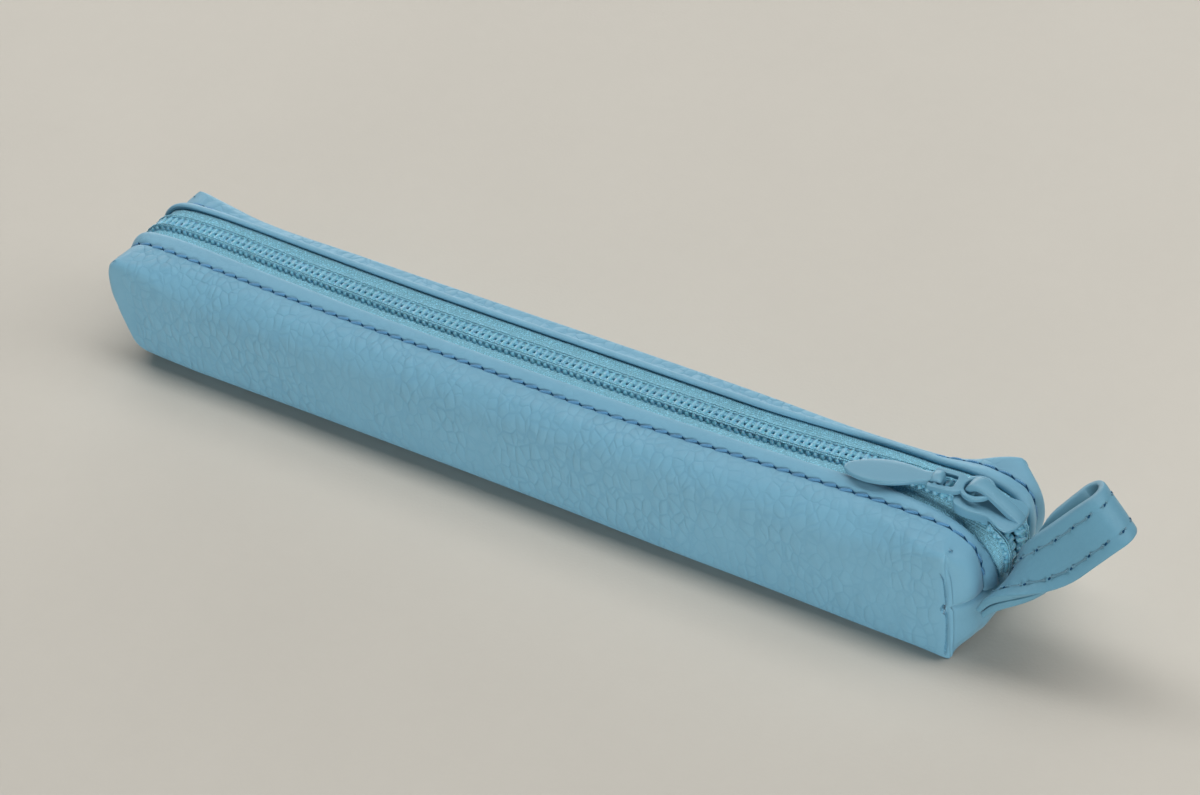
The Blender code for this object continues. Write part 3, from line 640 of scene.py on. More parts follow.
def along_table(table, value):
    return float(np.interp(value, [row[0] for row in table], [row[1] for row in table]))


def edge_radii(run, side):
    """Radii of the shoulder and of the lower edge at a run of the case."""
    sharp = 1 - smooth((1 - share_along(run)) * HALF_LENGTH / EAR)
    top = along_table(REAR_SHOULDER, run) if side > 0 else SHOULDER + (SHARP_SHOULDER - SHOULDER) * sharp
    return top, along_table(LOWER_EDGE, run)


def rounded(a, z, top, low):
    """A point of the square section, moved in where it lies within a rounded corner."""
    radius, centre, way = (top, HEIGHT - top, 1) if z > MIDDLE else (low, low, -1)
    da, dz = (a - HALF_WIDTH + radius) / radius, way * (z - centre) / radius
    if da <= 0 or dz <= 0:
        return a, z
    size = max(da, dz) / math.hypot(da, dz)
    return HALF_WIDTH - radius + radius * da * size, centre + way * radius * dz * size


def top_columns(side):
    inner = ACROSS_STITCH[side]
    return [inner + (13.0 - inner) * share for share in TOP_SHARES] + list(CORNER_COLUMNS)


def leather_ripple(point):
    spot = Vector((point[0] * 0.035, point[1] * 0.06, point[2] * 0.07))
    lift = noise.noise(spot) + 0.5 * noise.noise(spot * 2.7)
    return np.array((0.0, math.copysign(RIPPLE * lift, point[1]), RIPPLE * 0.5 * lift))


def cased_point(run, side, a, z):
    """A point of the case's outside before its seams: a along the width and z up in the square section."""
    end = 1 if run > 0 else -1
    flat_a, flat_z = rounded(a, z, *edge_radii(run, side))
    reach = end_reach(flat_a / HALF_WIDTH, (flat_z - MIDDLE) / MIDDLE)
    return np.array((end * share_along(run) * reach, side * flat_a, flat_z))


def stitch_offset(run, side, z):
    """How far the stitched line lies off the plain case; on an end z gives the place."""
    stitch, _ = BANDS[side]
    inner = ACROSS_STITCH[side]
    if abs(run) < TOP_END:
        return rail(stitch, run) - cased_point(run, side, inner, HEIGHT)
    up = min(1.0, max(0.0, (z - MIDDLE) / MIDDLE))
    along = TOP_END + (RUN_END - TOP_END) * math.acos(up) / (math.pi / 2)
    return rail(stitch, math.copysign(along, run)) - cased_point(run, side, inner, max(z, MIDDLE))


def outside_point(run, side, a, z):
    """A point of the leather, with the dents and bulges of the real case."""
    inner = ACROSS_STITCH[side]
    point = cased_point(run, side, a, z)
    if a < inner:
        return point
    end = 1 if run > 0 else -1
    on_end = abs(run) >= TOP_END
    fade = 1 - smooth((a - inner) / (HALF_WIDTH - inner))
    held = 1 - smooth((MIDDLE - z) / 9.0) if on_end else smooth((z - 9.0) / 14.0)
    point += stitch_offset(run, side, z) * fade * held
    near_end = smooth((abs(run) - 84.0) / 12.2)
    corner = (1 - fade) * near_end
    if end < 0:
        point[0] -= corner * along_table(FAR_CORNER, z)
    elif side > 0:
        point[0] += corner * 2.4 * math.sin(math.pi * z / HEIGHT)
        point[2] += 1.3 * smooth((a - inner) / 4.0) * smooth((z - 14.0) / 11.0) * smooth((run - 86.0) / 10.0)
    else:
        point[0] -= corner * 0.4
    # the upright edge is turned round
    turned = smooth((a - FOLD) / FOLD_WIDE)
    gap = (1 - share_along(run)) * END_CROWN
    if gap < FOLD_LONG:
        point[1] -= side * 0.6 * (1 - gap / FOLD_LONG) ** 2 * turned
    if gap < 0.01:
        point[0] -= end * 0.6 * turned ** 2
    bow = smooth((a - 11.0) / 3.8) * math.sin(math.pi * z / HEIGHT)
    point[1] += side * bow * 0.45 * (1 - share_along(run) ** 2)
    point += leather_ripple(point) * smooth(z / 4.0) * (1 - near_end) * (1 - fade)
    return point


def hump(off, width):
    return math.exp(-(off / width) ** 2)


def end_relief(side, a, z):
    """How far an end panel stands out of its plain shape: puffed, with creases at its seams."""
    groove = hump(a - CREASE, 0.2) * smooth((z - 1.0) / 1.5) * smooth((22.2 - z) / 1.6)
    dimple = hump(a - 13.9, 0.9) * hump(z - 21.6, 1.0)
    seam = hump(z - MIDDLE, 0.34) * smooth((14.7 - a) / 0.8)
    recess = (1 - smooth((a - CREASE) / 0.5)) * smooth((z - 0.5) / 2.0) * smooth((22.4 - z) / 3.0)
    recess *= 1 - smooth((13.6 - a) / 2.5)
    out = -0.25 * groove - 0.75 * dimple - 0.7 * seam - 0.6 * recess
    if z > MIDDLE:
        across = min(1.0, max(0.0, (CREASE - a) / (CREASE - ACROSS_STITCH[side])))
        puffed = math.sin(math.pi * min(1.0, (HEIGHT - z) / MIDDLE)) ** 0.7
        return out + 1.3 * math.sin(math.pi * across ** 0.8) * puffed
    across = min(1.0, max(0.0, (CREASE - a) / CREASE))
    puffed = math.sin(math.pi * ((MIDDLE - z) / MIDDLE))
    out += 0.35 * math.sin(math.pi * min(1.0, across * 1.6) / 2) * puffed
    return out + 0.1 * math.sin(a * 1.9 + 1.0) * puffed * smooth(across * 4)


def end_point(run, side, a, z):
    """A point of an end panel; the far one is flatter."""
    point = outside_point(run, side, a, z)
    point[0] += end_relief(side, a, z) * (1.0 if run > 0 else -0.45)
    return point


def top_normal(side, run):
    """The direction out of the zip band at a run."""
    stitch, edge = BANDS[side]
    out = np.cross(heading(stitch, run), rail(edge, run) - rail(stitch, run))
    if out[2] < 0 and run_angle(run) < 1.2 or out[0] * run < 0 and run_angle(run) >= 1.2:
        out = -out
    return unit(out)


def pulled_in(points, side, run):
    """The row with its first points drawn in by the stitches."""
    out = top_normal(side, run)
    for index, depth in enumerate((-0.34, -0.16, -0.04)):
        points[index] = points[index] + out * depth
    return points


def level_heights():
    upper = [MIDDLE + MIDDLE * math.cos(math.pi / 2 * share) for share in UPPER_SHARES]
    lower = [MIDDLE - MIDDLE * math.sin(math.pi / 2 * share) for share in LOWER_SHARES]
    return upper, lower


def wall_rows(side):
    """The leather from its stitched line out, down the wall and in under the base, one row for each run."""
    upper, lower = level_heights()
    columns = top_columns(side)
    rows = []
    for run in [-run for run in NEAR_RUNS[:0:-1]] + list(NEAR_RUNS):
        place = outside_point if abs(run) < TOP_END else end_point
        points = pulled_in([place(run, side, a, HEIGHT) for a in columns], side, run)
        points += [place(run, side, HALF_WIDTH, z) for z in upper[1:] + lower[1:]]
        points += [place(run, side, a, 0.0) for a in columns[-2::-1]]
        points += [cased_point(run, side, ACROSS_STITCH[side] * share, 0.0) for share in (0.66, 0.33, 0.0)]
        rows.append(points)
    return rows


def end_rows(end):
    """Rows of an end panel: two sheets above its seam, beside the zip, and one below it."""
    upper, lower = level_heights()
    run = end * TOP_END
    sheets, lifts = [], {}
    for side in (-1, 1):
        columns = top_columns(side)
        rows = []
        for z, share in zip(upper, UPPER_SHARES):
            points = [end_point(run, side, a, z) for a in columns]
            rows.append(pulled_in(points, side, end * (TOP_END + (RUN_END - TOP_END) * share)))
        sheets.append(rows)
        lifts[side] = [rows[-1][index] - end_point(run, side, columns[index], MIDDLE) for index in range(3)]
    rows = []
    for z in lower:
        halves = {}
        for side in (-1, 1):
            points = [end_point(run, side, a, z) for a in top_columns(side)]
            for index, lift in enumerate(lifts[side]):
                points[index] = points[index] + lift * (1 - smooth((MIDDLE - z) / 3.0))
            halves[side] = points
        front, rear = halves[-1][0], halves[1][0]
        below = smooth((MIDDLE - z) / 5.0)
        middle = []
        for share in (0.17, 0.33, 0.5, 0.67, 0.83):
            point = front + (rear - front) * share
            plain = end * end_reach(point[1] / HALF_WIDTH, (z - MIDDLE) / MIDDLE)
            point[0] += (plain - point[0]) * below + end * 1.3 * math.sin(math.pi * share) * (1 - below)
            middle.append(point)
        if z == lower[-1]:
            # the last row meets the points of the base
            middle = [cased_point(run, side, ACROSS_STITCH[side] * share, 0.0)
                      for side, share in ((-1, 0.66), (-1, 0.33), (1, 0.0), (1, 0.33), (1, 0.66))]
        rows.append(halves[-1][::-1] + middle + halves[1])
    sheets.append(rows)
    return sheets


LINING_GAP, LINING_THICK = 0.1 * MM, 0.4 * MM


def leather_body(name, inset=0.0):
    """Walls, base and end panels as one sheet of leather, open along the zip."""
    bm = bmesh.new()

    def sheet(rows):
        grid = [[bm.verts.new(Vector(point) * MM) for point in row] for row in rows]
        for row, following in zip(grid, grid[1:]):
            for index in range(len(row) - 1):
                bm.faces.new((row[index], row[index + 1], following[index + 1], following[index]))

    sheet(wall_rows(-1))
    sheet(wall_rows(1))
    for end in (-1, 1):
        for rows in end_rows(end):
            sheet(rows)
    bmesh.ops.remove_doubles(bm, verts=bm.verts, dist=0.00004)
    bmesh.ops.recalc_face_normals(bm, faces=bm.faces)
    if bm.calc_volume(signed=True) < 0:
        bmesh.ops.reverse_faces(bm, faces=bm.faces)
    if inset:
        bm.normal_update()
        for vertex, normal in [(vertex, vertex.normal.copy()) for vertex in bm.verts]:
            vertex.co -= normal * inset
    return finished(bm, name)


class OBJECT_OT_pen_case_leather(bpy.types.Operator):
    """Build the leather body of the case"""
    bl_idname = "object.pen_case_leather"
    bl_label = "Leather Body"

    def execute(self, context):
        body = add_piece("leather_body", leather_body("leather_body"), finishes["leather"],
                         "case")
        add_modifier(body, "thickness", "SOLIDIFY", thickness=sizes().wall, offset=-1.0,
                     use_even_offset=False)
        add_modifier(body, "softness", "SUBSURF", levels=1, render_levels=1)
        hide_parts("leather_shell")
        return {"FINISHED"}


class OBJECT_OT_pen_case_lining(bpy.types.Operator):
    """Build the cloth lining inside the leather"""
    bl_idname = "object.pen_case_lining"
    bl_label = "Lining"

    def execute(self, context):
        mesh = leather_body("cloth_lining", inset=sizes().wall + LINING_GAP)
        lining = add_piece("cloth_lining", mesh, finishes["lining"], "case")
        add_modifier(lining, "thickness", "SOLIDIFY", thickness=LINING_THICK, offset=-1.0,
                     use_even_offset=False)
        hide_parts("lining")
        return {"FINISHED"}


# Turned edges, tape, coil and topstitching

# Sections of the turned edges: distance from the stitched line as (share of the edge's width, millimetres),
# and height in millimetres
SECTIONS = {
    -1: ((0, 0, -0.34), (0, 0.22, -0.16), (0, 0.5, -0.03), (0.45, 0, 0.05), (0.75, 0, 0.08), (1, -0.35, 0.06),
         (1, 0, -0.04), (1, 0.3, -0.22), (1, 0.45, -0.5), (1, 0.35, -0.78), (1, 0.1, -0.94), (0.6, 0, -1.0),
         (0, 0, -1.2)),
    1: ((0, 0, -0.34), (0, 0.22, -0.16), (0, 0.5, -0.03), (0.45, 0, 0.02), (0.75, 0, 0.04), (1, -0.35, 0.06),
        (1, 0, 0.0), (1, 0.4, -0.1), (1, 0.72, -0.38), (1, 0.85, -0.75), (1, 0.74, -1.1), (1, 0.4, -1.28),
        (0.6, 0, -1.35), (0, 0, -1.5))}


def band_frame(side, run):
    """Stitched line, edge and outward direction at a run of the zip band."""
    stitch, edge = BANDS[side]
    return rail(stitch, run), rail(edge, run), top_normal(side, run)


def edge_rows(side, start, end):
    rows = []
    for run in runs_between(start, end, 1.0):
        outer, inner, out = band_frame(side, run)
        inward = unit(inner - outer)
        width = np.linalg.norm(inner - outer)
        rows.append([outer + inward * (share * width + off) + out * lift
                     for share, off, lift in SECTIONS[side]])
    return rows


def bend_with_lip(piece):
    """The piece's placement is baked into its mesh."""
    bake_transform(piece)


class OBJECT_OT_pen_case_edges(bpy.types.Operator):
    """Build the turned leather edges beside the zip"""
    bl_idname = "object.pen_case_edges"
    bl_label = "Turned Edges"

    def execute(self, context):
        for side_name, side in SIDES:
            for half, start, end in HALVES:
                mesh = skin_mesh("turned_edge", edge_rows(side, start, end))
                piece = add_piece(f"turned_edge_{side_name}_{half}", mesh, finishes["edge"])
                bend_with_lip(piece)
                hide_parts(f"lip_band_{side_name}")
        return {"FINISHED"}


def centre_frame(run):
    """Top of the coil at a run, with the directions along the zip, across it to the rear, and outward."""
    top = rail(COIL_TOP, run)
    along = heading(COIL_TOP, run)
    across = rail(REAR_EDGE, run) - rail(FRONT_EDGE, run)
    across = unit(across - along * (across @ along))
    return top, along, across, np.cross(along, across)


def parting(run):
    """Half the gap between the coil rows, past the slider's nose."""
    return 0.9 * smooth((run - OPEN_FROM) / 4.5)


TAPE_THICK = 0.45


def tape_rows(side, start, end):
    """Sections of a tape: from under the turned edge, sagging a little, to under the coil."""
    rows = []
    for run in runs_between(start, end, 1.0):
        top, _, across, out = centre_frame(run)
        outer, inner, lip_out = band_frame(side, run)
        inward = unit(inner - outer)
        foot = inner + inward * 0.1 - lip_out * (0.9 if side < 0 else 1.22)
        hidden = outer + (inner - outer) * 0.45 - lip_out * 1.15
        gap = parting(run)
        beside = top - out * 0.95 + across * side * (2.65 + gap)
        last = top - out * 1.05 + across * side * (0.35 + gap)
        sagging = [foot * (1 - share) + beside * share - out * 0.12 for share in (0.34, 0.67)]
        upper = [hidden, foot, *sagging, beside, last]
        rows.append(upper + [point - out * TAPE_THICK for point in reversed(upper)])
    return rows


class OBJECT_OT_pen_case_tape(bpy.types.Operator):
    """Build the woven zip tapes"""
    bl_idname = "object.pen_case_tape"
    bl_label = "Zip Tape"

    def execute(self, context):
        for side_name, side in SIDES:
            for half, start, end in HALVES:
                mesh = skin_mesh("tape", tape_rows(side, start, end))
                piece = add_piece(f"tape_{side_name}_{half}", mesh, finishes["tape"])
                bend_with_lip(piece)
                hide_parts(f"zip_tape_{side_name}", f"{half}_tape_{side_name}")
        return {"FINISHED"}


def coil_path(side, half):
    """One row of the coil: flattened turns of wire whose heads meet those of the other row."""
    pitch, wire = sizes().coil_pitch / MM, sizes().coil_wire / MM
    shift = 0.0 if side < 0 else 0.5
    split = round(SPLIT / pitch) + 0.25 + shift
    if half == "near":
        first, last = split, math.floor((RUN_END - 0.8) / pitch) + shift - 0.5
    else:
        first, last = math.ceil((-RUN_END + 0.8) / pitch) + shift, split
    steps = int(round((last - first) * 12))
    points, radii = [], []
    for step in range(steps + 1):
        turn = first + (last - first) * step / steps
        angle = 2 * math.pi * turn
        head, lift = boxed(math.cos(angle), 0.8), boxed(math.sin(angle), 0.7)
        run = pitch * (turn + 0.75 * (math.cos(angle) - 1) / (2 * math.pi))
        top, _, across, out = centre_frame(run)
        points.append(top + across * side * (1.0 - 1.2 * head + parting(run))
                      + out * (0.4 * lift - 0.4 - wire))
        radii.append(wire * (1 + 0.14 * max(0.0, head) ** 3))
    return points, radii


def row_thread(side, start, end, across_by):
    """The thread that sews a coil row to its tape, dipping between the turns."""
    pitch = sizes().coil_pitch / MM
    path = []
    for run in runs_between(start, end, pitch / 4):
        top, _, across, out = centre_frame(run)
        wave = math.cos(2 * math.pi * (run / pitch - (0.25 if side < 0 else 0.75)))
        path.append(top + across * side * (across_by + parting(run)) + out * (0.07 * wave - 0.03))
    return path


def row_cords(side, start, end):
    """Three cords side by side that fill a coil row."""
    cords = ([], [], [])
    for run in runs_between(start, end, 1.2):
        top, _, across, out = centre_frame(run)
        for cord, place in zip(cords, (0.6, 1.15, 1.7)):
            cord.append(top - out * 0.7 + across * side * (place + parting(run)))
    return cords


class OBJECT_OT_pen_case_coil(bpy.types.Operator):
    """Build the two rows of nylon coil and the threads that hold them"""
    bl_idname = "object.pen_case_coil"
    bl_label = "Zip Coil"

    def execute(self, context):
        for side_name, side in SIDES:
            for half, start, end in HALVES:
                path, radii = coil_path(side, half)
                piece = add_piece(f"coil_{side_name}_{half}", tube_mesh("coil", [path], radii, 6),
                                  finishes["coil"])
                bend_with_lip(piece)
                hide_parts(f"zip_coil_{side_name}", f"{half}_coil_{side_name}")
                ends = (start + 1.0, end) if half == "far" else (start, end - 1.0)
                cord = add_piece(f"coil_core_{side_name}_{half}",
                                 tube_mesh("coil_core", row_cords(side, *ends), 0.4, 8),
                                 finishes["coil"])
                bend_with_lip(cord)
                lines = [row_thread(side, *ends, across_by) for across_by in (1.45, 1.85)]
                threads = tube_mesh("coil_threads", lines, 0.14, 5)
                sewn = add_piece(f"coil_threads_{side_name}_{half}", threads, finishes["tape"])
                bend_with_lip(sewn)
        return {"FINISHED"}


# A stitch's thread as (share of its length, height), and a needle hole as shares of its length and width
STITCH_ARCH = ((0.13, -0.3), (0.18, -0.02), (0.3, 0.13), (0.5, 0.17), (0.7, 0.13), (0.82, -0.02),
               (0.87, -0.3))
HOLE_SHARES = ((-1.0, 0.35), (-0.6, 0.9), (0.0, 1.0), (0.6, 0.9), (1.0, 0.35))


def stitch_meshes(places, frames, radius, slant, holes_long, holes_wide):
    """Threads and needle holes of a row; frames gives (point, along, out, across) at a place."""
    threads, holes = bmesh.new(), bmesh.new()
    for place, following in zip(places, places[1:]):
        point, along, out, across = frames(place)
        run = frames(following)[0] - point
        path = []
        for share, lift in STITCH_ARCH:
            path.append(point + run * share + out * lift + across * (share - 0.5) * 2 * slant)
        add_tube(threads, path, radius, 7)
        # each needle hole is a dark slit laid just over the leather: painted shade for the hole
        dot = [point + along * offset * holes_long - across * offset * slant * 1.1 + out * 0.06
               for offset, _ in HOLE_SHARES]
        add_tube(holes, dot, [holes_wide * part for _, part in HOLE_SHARES], 6)
    for bm in (threads, holes):
        bmesh.ops.recalc_face_normals(bm, faces=bm.faces)
    return finished(threads, "thread"), finished(holes, "needle_holes")


def band_stitch_frame(side):
    """Places along the topstitching, by run."""
    def frames(run):
        outer, _, out = band_frame(side, run)
        along = heading(BANDS[side][0], run)
        return outer - out * 0.14, along, out, unit(np.cross(out, along))
    return frames


class OBJECT_OT_pen_case_topstitch(bpy.types.Operator):
    """Build the topstitching of the turned edges"""
    bl_idname = "object.pen_case_topstitch"
    bl_label = "Topstitching"

    def execute(self, context):
        step = sizes().stitch_length / MM
        radius = sizes().thread_radius / MM
        for side_name, side in SIDES:
            for half, _, _ in HALVES:
                way = 1 if half == "near" else -1
                count = int((RUN_END - 1.2 - way * SPLIT) / step)
                places = sorted(SPLIT + way * step * index for index in range(count + 1))
                thread, holes = stitch_meshes(places, band_stitch_frame(side), radius, 0.4, 0.72, 0.16)
                sewn = add_piece(f"topstitch_{side_name}_{half}", thread, finishes["thread"])
                bend_with_lip(sewn)
                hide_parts(f"topstitch_{side_name}", f"{half}_topstitch_{side_name}")
                # the needle holes: dark slits of painted shade
                dots = add_piece(f"needle_holes_{side_name}_{half}", holes, finishes["hole"])
                bend_with_lip(dots)
        return {"FINISHED"}


# Slider, link and leaf

EYE = np.array((99.9, 0.0, 28.9))     # the link turns here, on the bridge
PULL_YAW = math.radians(7)
LINK_REACH = 10.2                # from the eye to the crossbar
LEAF_PITCH, LEAF_YAW = math.radians(-4.5), math.radians(3.5)
PULL_SHIFT = np.array((0.4, 0.4, 0.0))


def slab(name, outline, low, high, edge, segments):
    """A flat piece from an outline, with rounded edges; low and high are heights, or give one at a point."""
    bm = bmesh.new()
    lower, upper = ([bm.verts.new((x, y, level(x, y) if callable(level) else level)) for x, y in outline]
                    for level in (low, high))
    count = len(outline)
    bm.faces.new(lower[::-1])
    bm.faces.new(upper)
    for index in range(count):
        after = (index + 1) % count
        bm.faces.new((lower[index], lower[after], upper[after], upper[index]))
    bmesh.ops.recalc_face_normals(bm, faces=bm.faces)
    rim = [e for e in bm.edges if len(e.link_faces) == 2
           and any(len(face.verts) == count for face in e.link_faces)]
    bmesh.ops.bevel(bm, geom=rim, offset=edge, segments=segments, profile=0.5, affect="EDGES")
    bmesh.ops.scale(bm, vec=(MM, MM, MM), verts=bm.verts)
    mesh = finished(bm, name)
    mesh.set_sharp_from_angle(angle=math.radians(50))
    return mesh


def curve_through(points, steps):
    """A smooth curve through points, open."""
    points = [np.array(point, float) for point in points]
    out = []
    for i in range(len(points) - 1):
        before = points[max(i - 1, 0)]
        after = points[min(i + 2, len(points) - 1)]
        a, b = points[i], points[i + 1]
        for step in range(steps):
            t = step / steps
            out.append(0.5 * ((2 * a) + (b - before) * t + (2 * before - 5 * a + 4 * b - after) * t * t
                              + (3 * a - before - 3 * b + after) * t ** 3))
    out.append(points[-1])
    return out


def strip_mesh(name, path, widths, thicknesses, rounding):
    """A bar of metal along a path in the XZ plane, with rounded edges; sizes may change along it."""
    rows = []
    for index, point in enumerate(path):
        ahead = path[min(index + 1, len(path) - 1)] - path[max(index - 1, 0)]
        along = unit(ahead)
        up = np.array((-along[2], 0.0, along[0]))
        share = index / (len(path) - 1)
        width = float(np.interp(share, np.linspace(0, 1, len(widths)), widths))
        thick = float(np.interp(share, np.linspace(0, 1, len(thicknesses)), thicknesses))
        section_points = []
        for cy, cz, start in ((1, 1, 0), (-1, 1, 90), (-1, -1, 180), (1, -1, 270)):
            for step in (0, 30, 60, 90):
                angle = math.radians(start + step)
                y = cy * (width / 2 - rounding) + rounding * math.cos(angle)
                z = cz * (thick / 2 - rounding) + rounding * math.sin(angle)
                section_points.append(point + np.array((0.0, y, 0.0)) + up * z)
        rows.append(section_points)
    return skin_mesh(name, rows)


# Height of the slider's top plate, which dips towards its nose
PLATE_TOP = ((94, 28.3), (96, 28.1), (98, 27.7), (100, 27.15), (102, 26.5), (104, 25.9), (106, 25.4),
             (107, 25.2))
# Half the plate's outline, from its back to its nose
PLATE_HALF = ((94.4, 1.8), (94.5, 3.2), (95.1, 4.05), (96.4, 4.4), (98.0, 4.2), (99.4, 3.7), (100.6, 3.35),
              (101.7, 3.4), (102.9, 3.8), (104.0, 4.15), (105.0, 4.15), (105.9, 3.6), (106.5, 2.6),
              (106.8, 1.3))
# The bridge over the plate, as (x, z), and its widths and thicknesses from the nose on
BRIDGE = ((106.3, 24.7), (105.4, 25.55), (104.2, 26.5), (102.3, 27.95), (100.4, 29.35), (98.9, 30.1),
          (97.6, 30.05), (96.8, 29.4), (96.5, 28.5), (96.6, 27.3))
BRIDGE_WIDTHS = (2.4, 2.6, 2.7, 2.75, 2.9, 3.1, 3.3, 3.2, 2.9)
BRIDGE_THICKNESSES = (1.7, 1.8, 1.7, 1.55, 1.4, 1.4, 1.4, 1.3, 1.3)


def plate_top(x, y=0.0):
    return along_table(PLATE_TOP, x) - 0.014 * y * y


def plate_under(x, _):
    return plate_top(x) - 1.9 + 1.05 * smooth((x - 98.5) / 5.0)


def block(name, x_range, half_width, low, high, edge, segments):
    (x0, x1), y = x_range, half_width
    return slab(name, [(x0, -y), (x1, -y), (x1, y), (x0, y)], low, high, edge, segments)


def slider_mesh():
    """Top plate, two flanges, keel, post and bridge in one."""
    half = [tuple(point[:2]) for point in curve_through([(x, y, 0) for x, y in PLATE_HALF], 4)]
    outline = half + [(106.9, 0.0)] + [(x, -y) for x, y in reversed(half)] + [(94.4, 0.0)]
    parts = [slab("plate", outline, plate_under, plate_top, 0.3, 4)]
    for side in (-1, 1):
        wall = [(x, y - 0.06) for x, y in half if 94.6 < x < 101.5]
        wall = [(x, side * y) for x, y in wall] + [(x, side * (y - 0.75)) for x, y in reversed(wall)]
        parts.append(slab("flange", wall, lambda x, _: plate_top(x) - 2.5, lambda x, _: plate_top(x) - 0.6,
                          0.12, 2))
    parts.append(block("keel", (94.6, 97.4), 3.3, 20.7, 21.8, 0.3, 2))
    parts.append(block("post", (94.8, 97.2), 0.2, 21.4, 27.4, 0.05, 1))
    arch = curve_through([(x, 0, z) for x, z in BRIDGE], 6)
    parts.append(strip_mesh("bridge", arch, BRIDGE_WIDTHS, BRIDGE_THICKNESSES, 0.5))
    return join(parts, "slider")


class OBJECT_OT_pen_case_slider(bpy.types.Operator):
    """Build the painted slider with its bridge"""
    bl_idname = "object.pen_case_slider"
    bl_label = "Slider"

    def execute(self, context):
        slider = add_piece("slider", slider_mesh(), finishes["paint"], "slider")
        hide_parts("slider_body")
        return {"FINISHED"}


def turn_about_eye(mesh, pitch=0.0, shift=0.0, yaw=0.0):
    """Bring a mesh made about the origin to the eye, turned with the pull."""
    place = Matrix.Translation(Vector(EYE + PULL_SHIFT) * MM) @ Matrix.Rotation(PULL_YAW, 4, "Z")
    place = place @ Matrix.Translation((shift * MM, 0, 0)) @ Matrix.Rotation(yaw, 4, "Z")
    mesh.transform(place @ Matrix.Rotation(pitch, 4, "Y"))
    return mesh


def ring_mesh(centre, radius, wide, thick):
    """A flat ring with rounded edges."""
    rings = []
    for x, y in circle(56):
        out = np.array((x, y, 0.0))
        rings.append([np.array(centre) + out * (radius + wide / 2 * boxed(c, 0.6))
                      + np.array((0, 0, thick / 2 * boxed(s, 0.6))) for c, s in circle(16)])
    return skin_mesh("ring", rings, capped=False, closed=True)


# Half the outline of the link's fork, and of the leaf, as (x, y) from the pivot of each
PRONG = ((-4.9, 1.6), (-5.4, 2.15), (-6.1, 2.5), (-7.2, 2.68), (-10.9, 2.72), (-11.35, 2.5), (-11.35, 1.75),
         (-7.5, 1.68), (-6.9, 1.5), (-6.7, 1.1), (-6.7, 0.0))
LEAF = ((0.5, 1.3), (-1.0, 1.35), (-2.6, 1.5), (-4.2, 1.95), (-6.2, 2.65), (-8.7, 3.15), (-11.2, 3.2),
        (-13.6, 2.85), (-15.6, 2.15), (-16.9, 1.4), (-17.7, 0.65), (-18.0, 0.0))
# The barrel of the leaf as (y, radius), from one end to the other
BARREL = ((-1.42, 0.62), (-1.42, 0.95), (-1.28, 1.12), (0, 1.14), (1.28, 1.12), (1.42, 0.95), (1.42, 0.62))


def link_mesh():
    """A ring with a forked frame, and the crossbar that the leaf turns on."""
    ring = ring_mesh((-2.6, 0.0, 0.0), 2.8, 0.85, 1.0)
    outline = list(PRONG) + [(x, -y) for x, y in reversed(PRONG[:-1])]
    outline += [(-5.2, -1.0), (-5.25, 0.0), (-5.2, 1.0)]
    fork = slab("fork", outline, -0.52, 0.52, 0.18, 3)
    bar = tube_mesh("crossbar", [[(-LINK_REACH, y, 0.0) for y in (-2.4, -1.0, 1.0, 2.4)]], 0.5, 16)
    return join([ring, fork, bar], "link")


def leaf_mesh():
    """A flat leaf, a little domed, with the rolled barrel at its pivot."""
    rows = []
    for x, y, _ in curve_through([(x, y, 0) for x, y in LEAF], 5):
        half, row = max(y, 0.02), []
        thick = 0.62 * min(1.0, 0.3 + half / 1.5)
        for c, s in circle(32):
            across = half * boxed(c, 0.5)
            row.append((x, across, thick * boxed(s, 0.45) + 0.1 * (1 - (across / 3.6) ** 2)))
        rows.append(row)
    blade = skin_mesh("blade", rows)
    rows = []
    for y, radius in BARREL + BARREL[:1]:
        row = []
        for c, s in circle(28):
            size = radius * (1 + 0.12 * (2 * s * c) ** 2)
            row.append((size * c, y, size * s))
        rows.append(row)
    return join([blade, skin_mesh("barrel", rows, capped=False)], "leaf")


class OBJECT_OT_pen_case_pull(bpy.types.Operator):
    """Build the link and the leaf of the pull"""
    bl_idname = "object.pen_case_pull"
    bl_label = "Link And Leaf"

    def execute(self, context):
        link = add_piece("link", turn_about_eye(link_mesh()), finishes["paint"], "link")
        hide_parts("pull_link")
        mesh = turn_about_eye(leaf_mesh(), LEAF_PITCH, -LINK_REACH, LEAF_YAW)
        leaf = add_piece("leaf", mesh, finishes["paint"], "leaf")
        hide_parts("pull_leaf")
        return {"FINISHED"}


# Wrist loop

LOOP_LENGTH, STRAP_WIDTH, STRAP_THICK = 30.3, 10.8, 1.3
LOOP_START = -1.5                # the strap begins this far inside the seam
ROOT_RADIUS, TIP_RADIUS, FUSED = 1.2, 3.6, 5.5     # the legs lie together as far as FUSED
ROOT_ACROSS, ROW = -6.3, 2.95    # where the strap leaves the seam, and its stitching off its middle
# LEAN shifts one leg past the other; BEND and TWIST are shares of the strap's length
LEAN, BEND, TWIST = 0.8, 0.15, 0.66
RISE = math.radians(56.7)        # the strap leaves the seam at this slope
END_HEADING, END_WIDTH = (0.56, 0.70, 0.444), (-0.828, 0.448, 0.338)
REACH = LOOP_LENGTH - TIP_RADIUS - ROOT_RADIUS


def square_frame(along, width):
    along = Vector(along).normalized()
    width = Vector(width)
    width = (width - along * width.dot(along)).normalized()
    return along, width, along.cross(width)


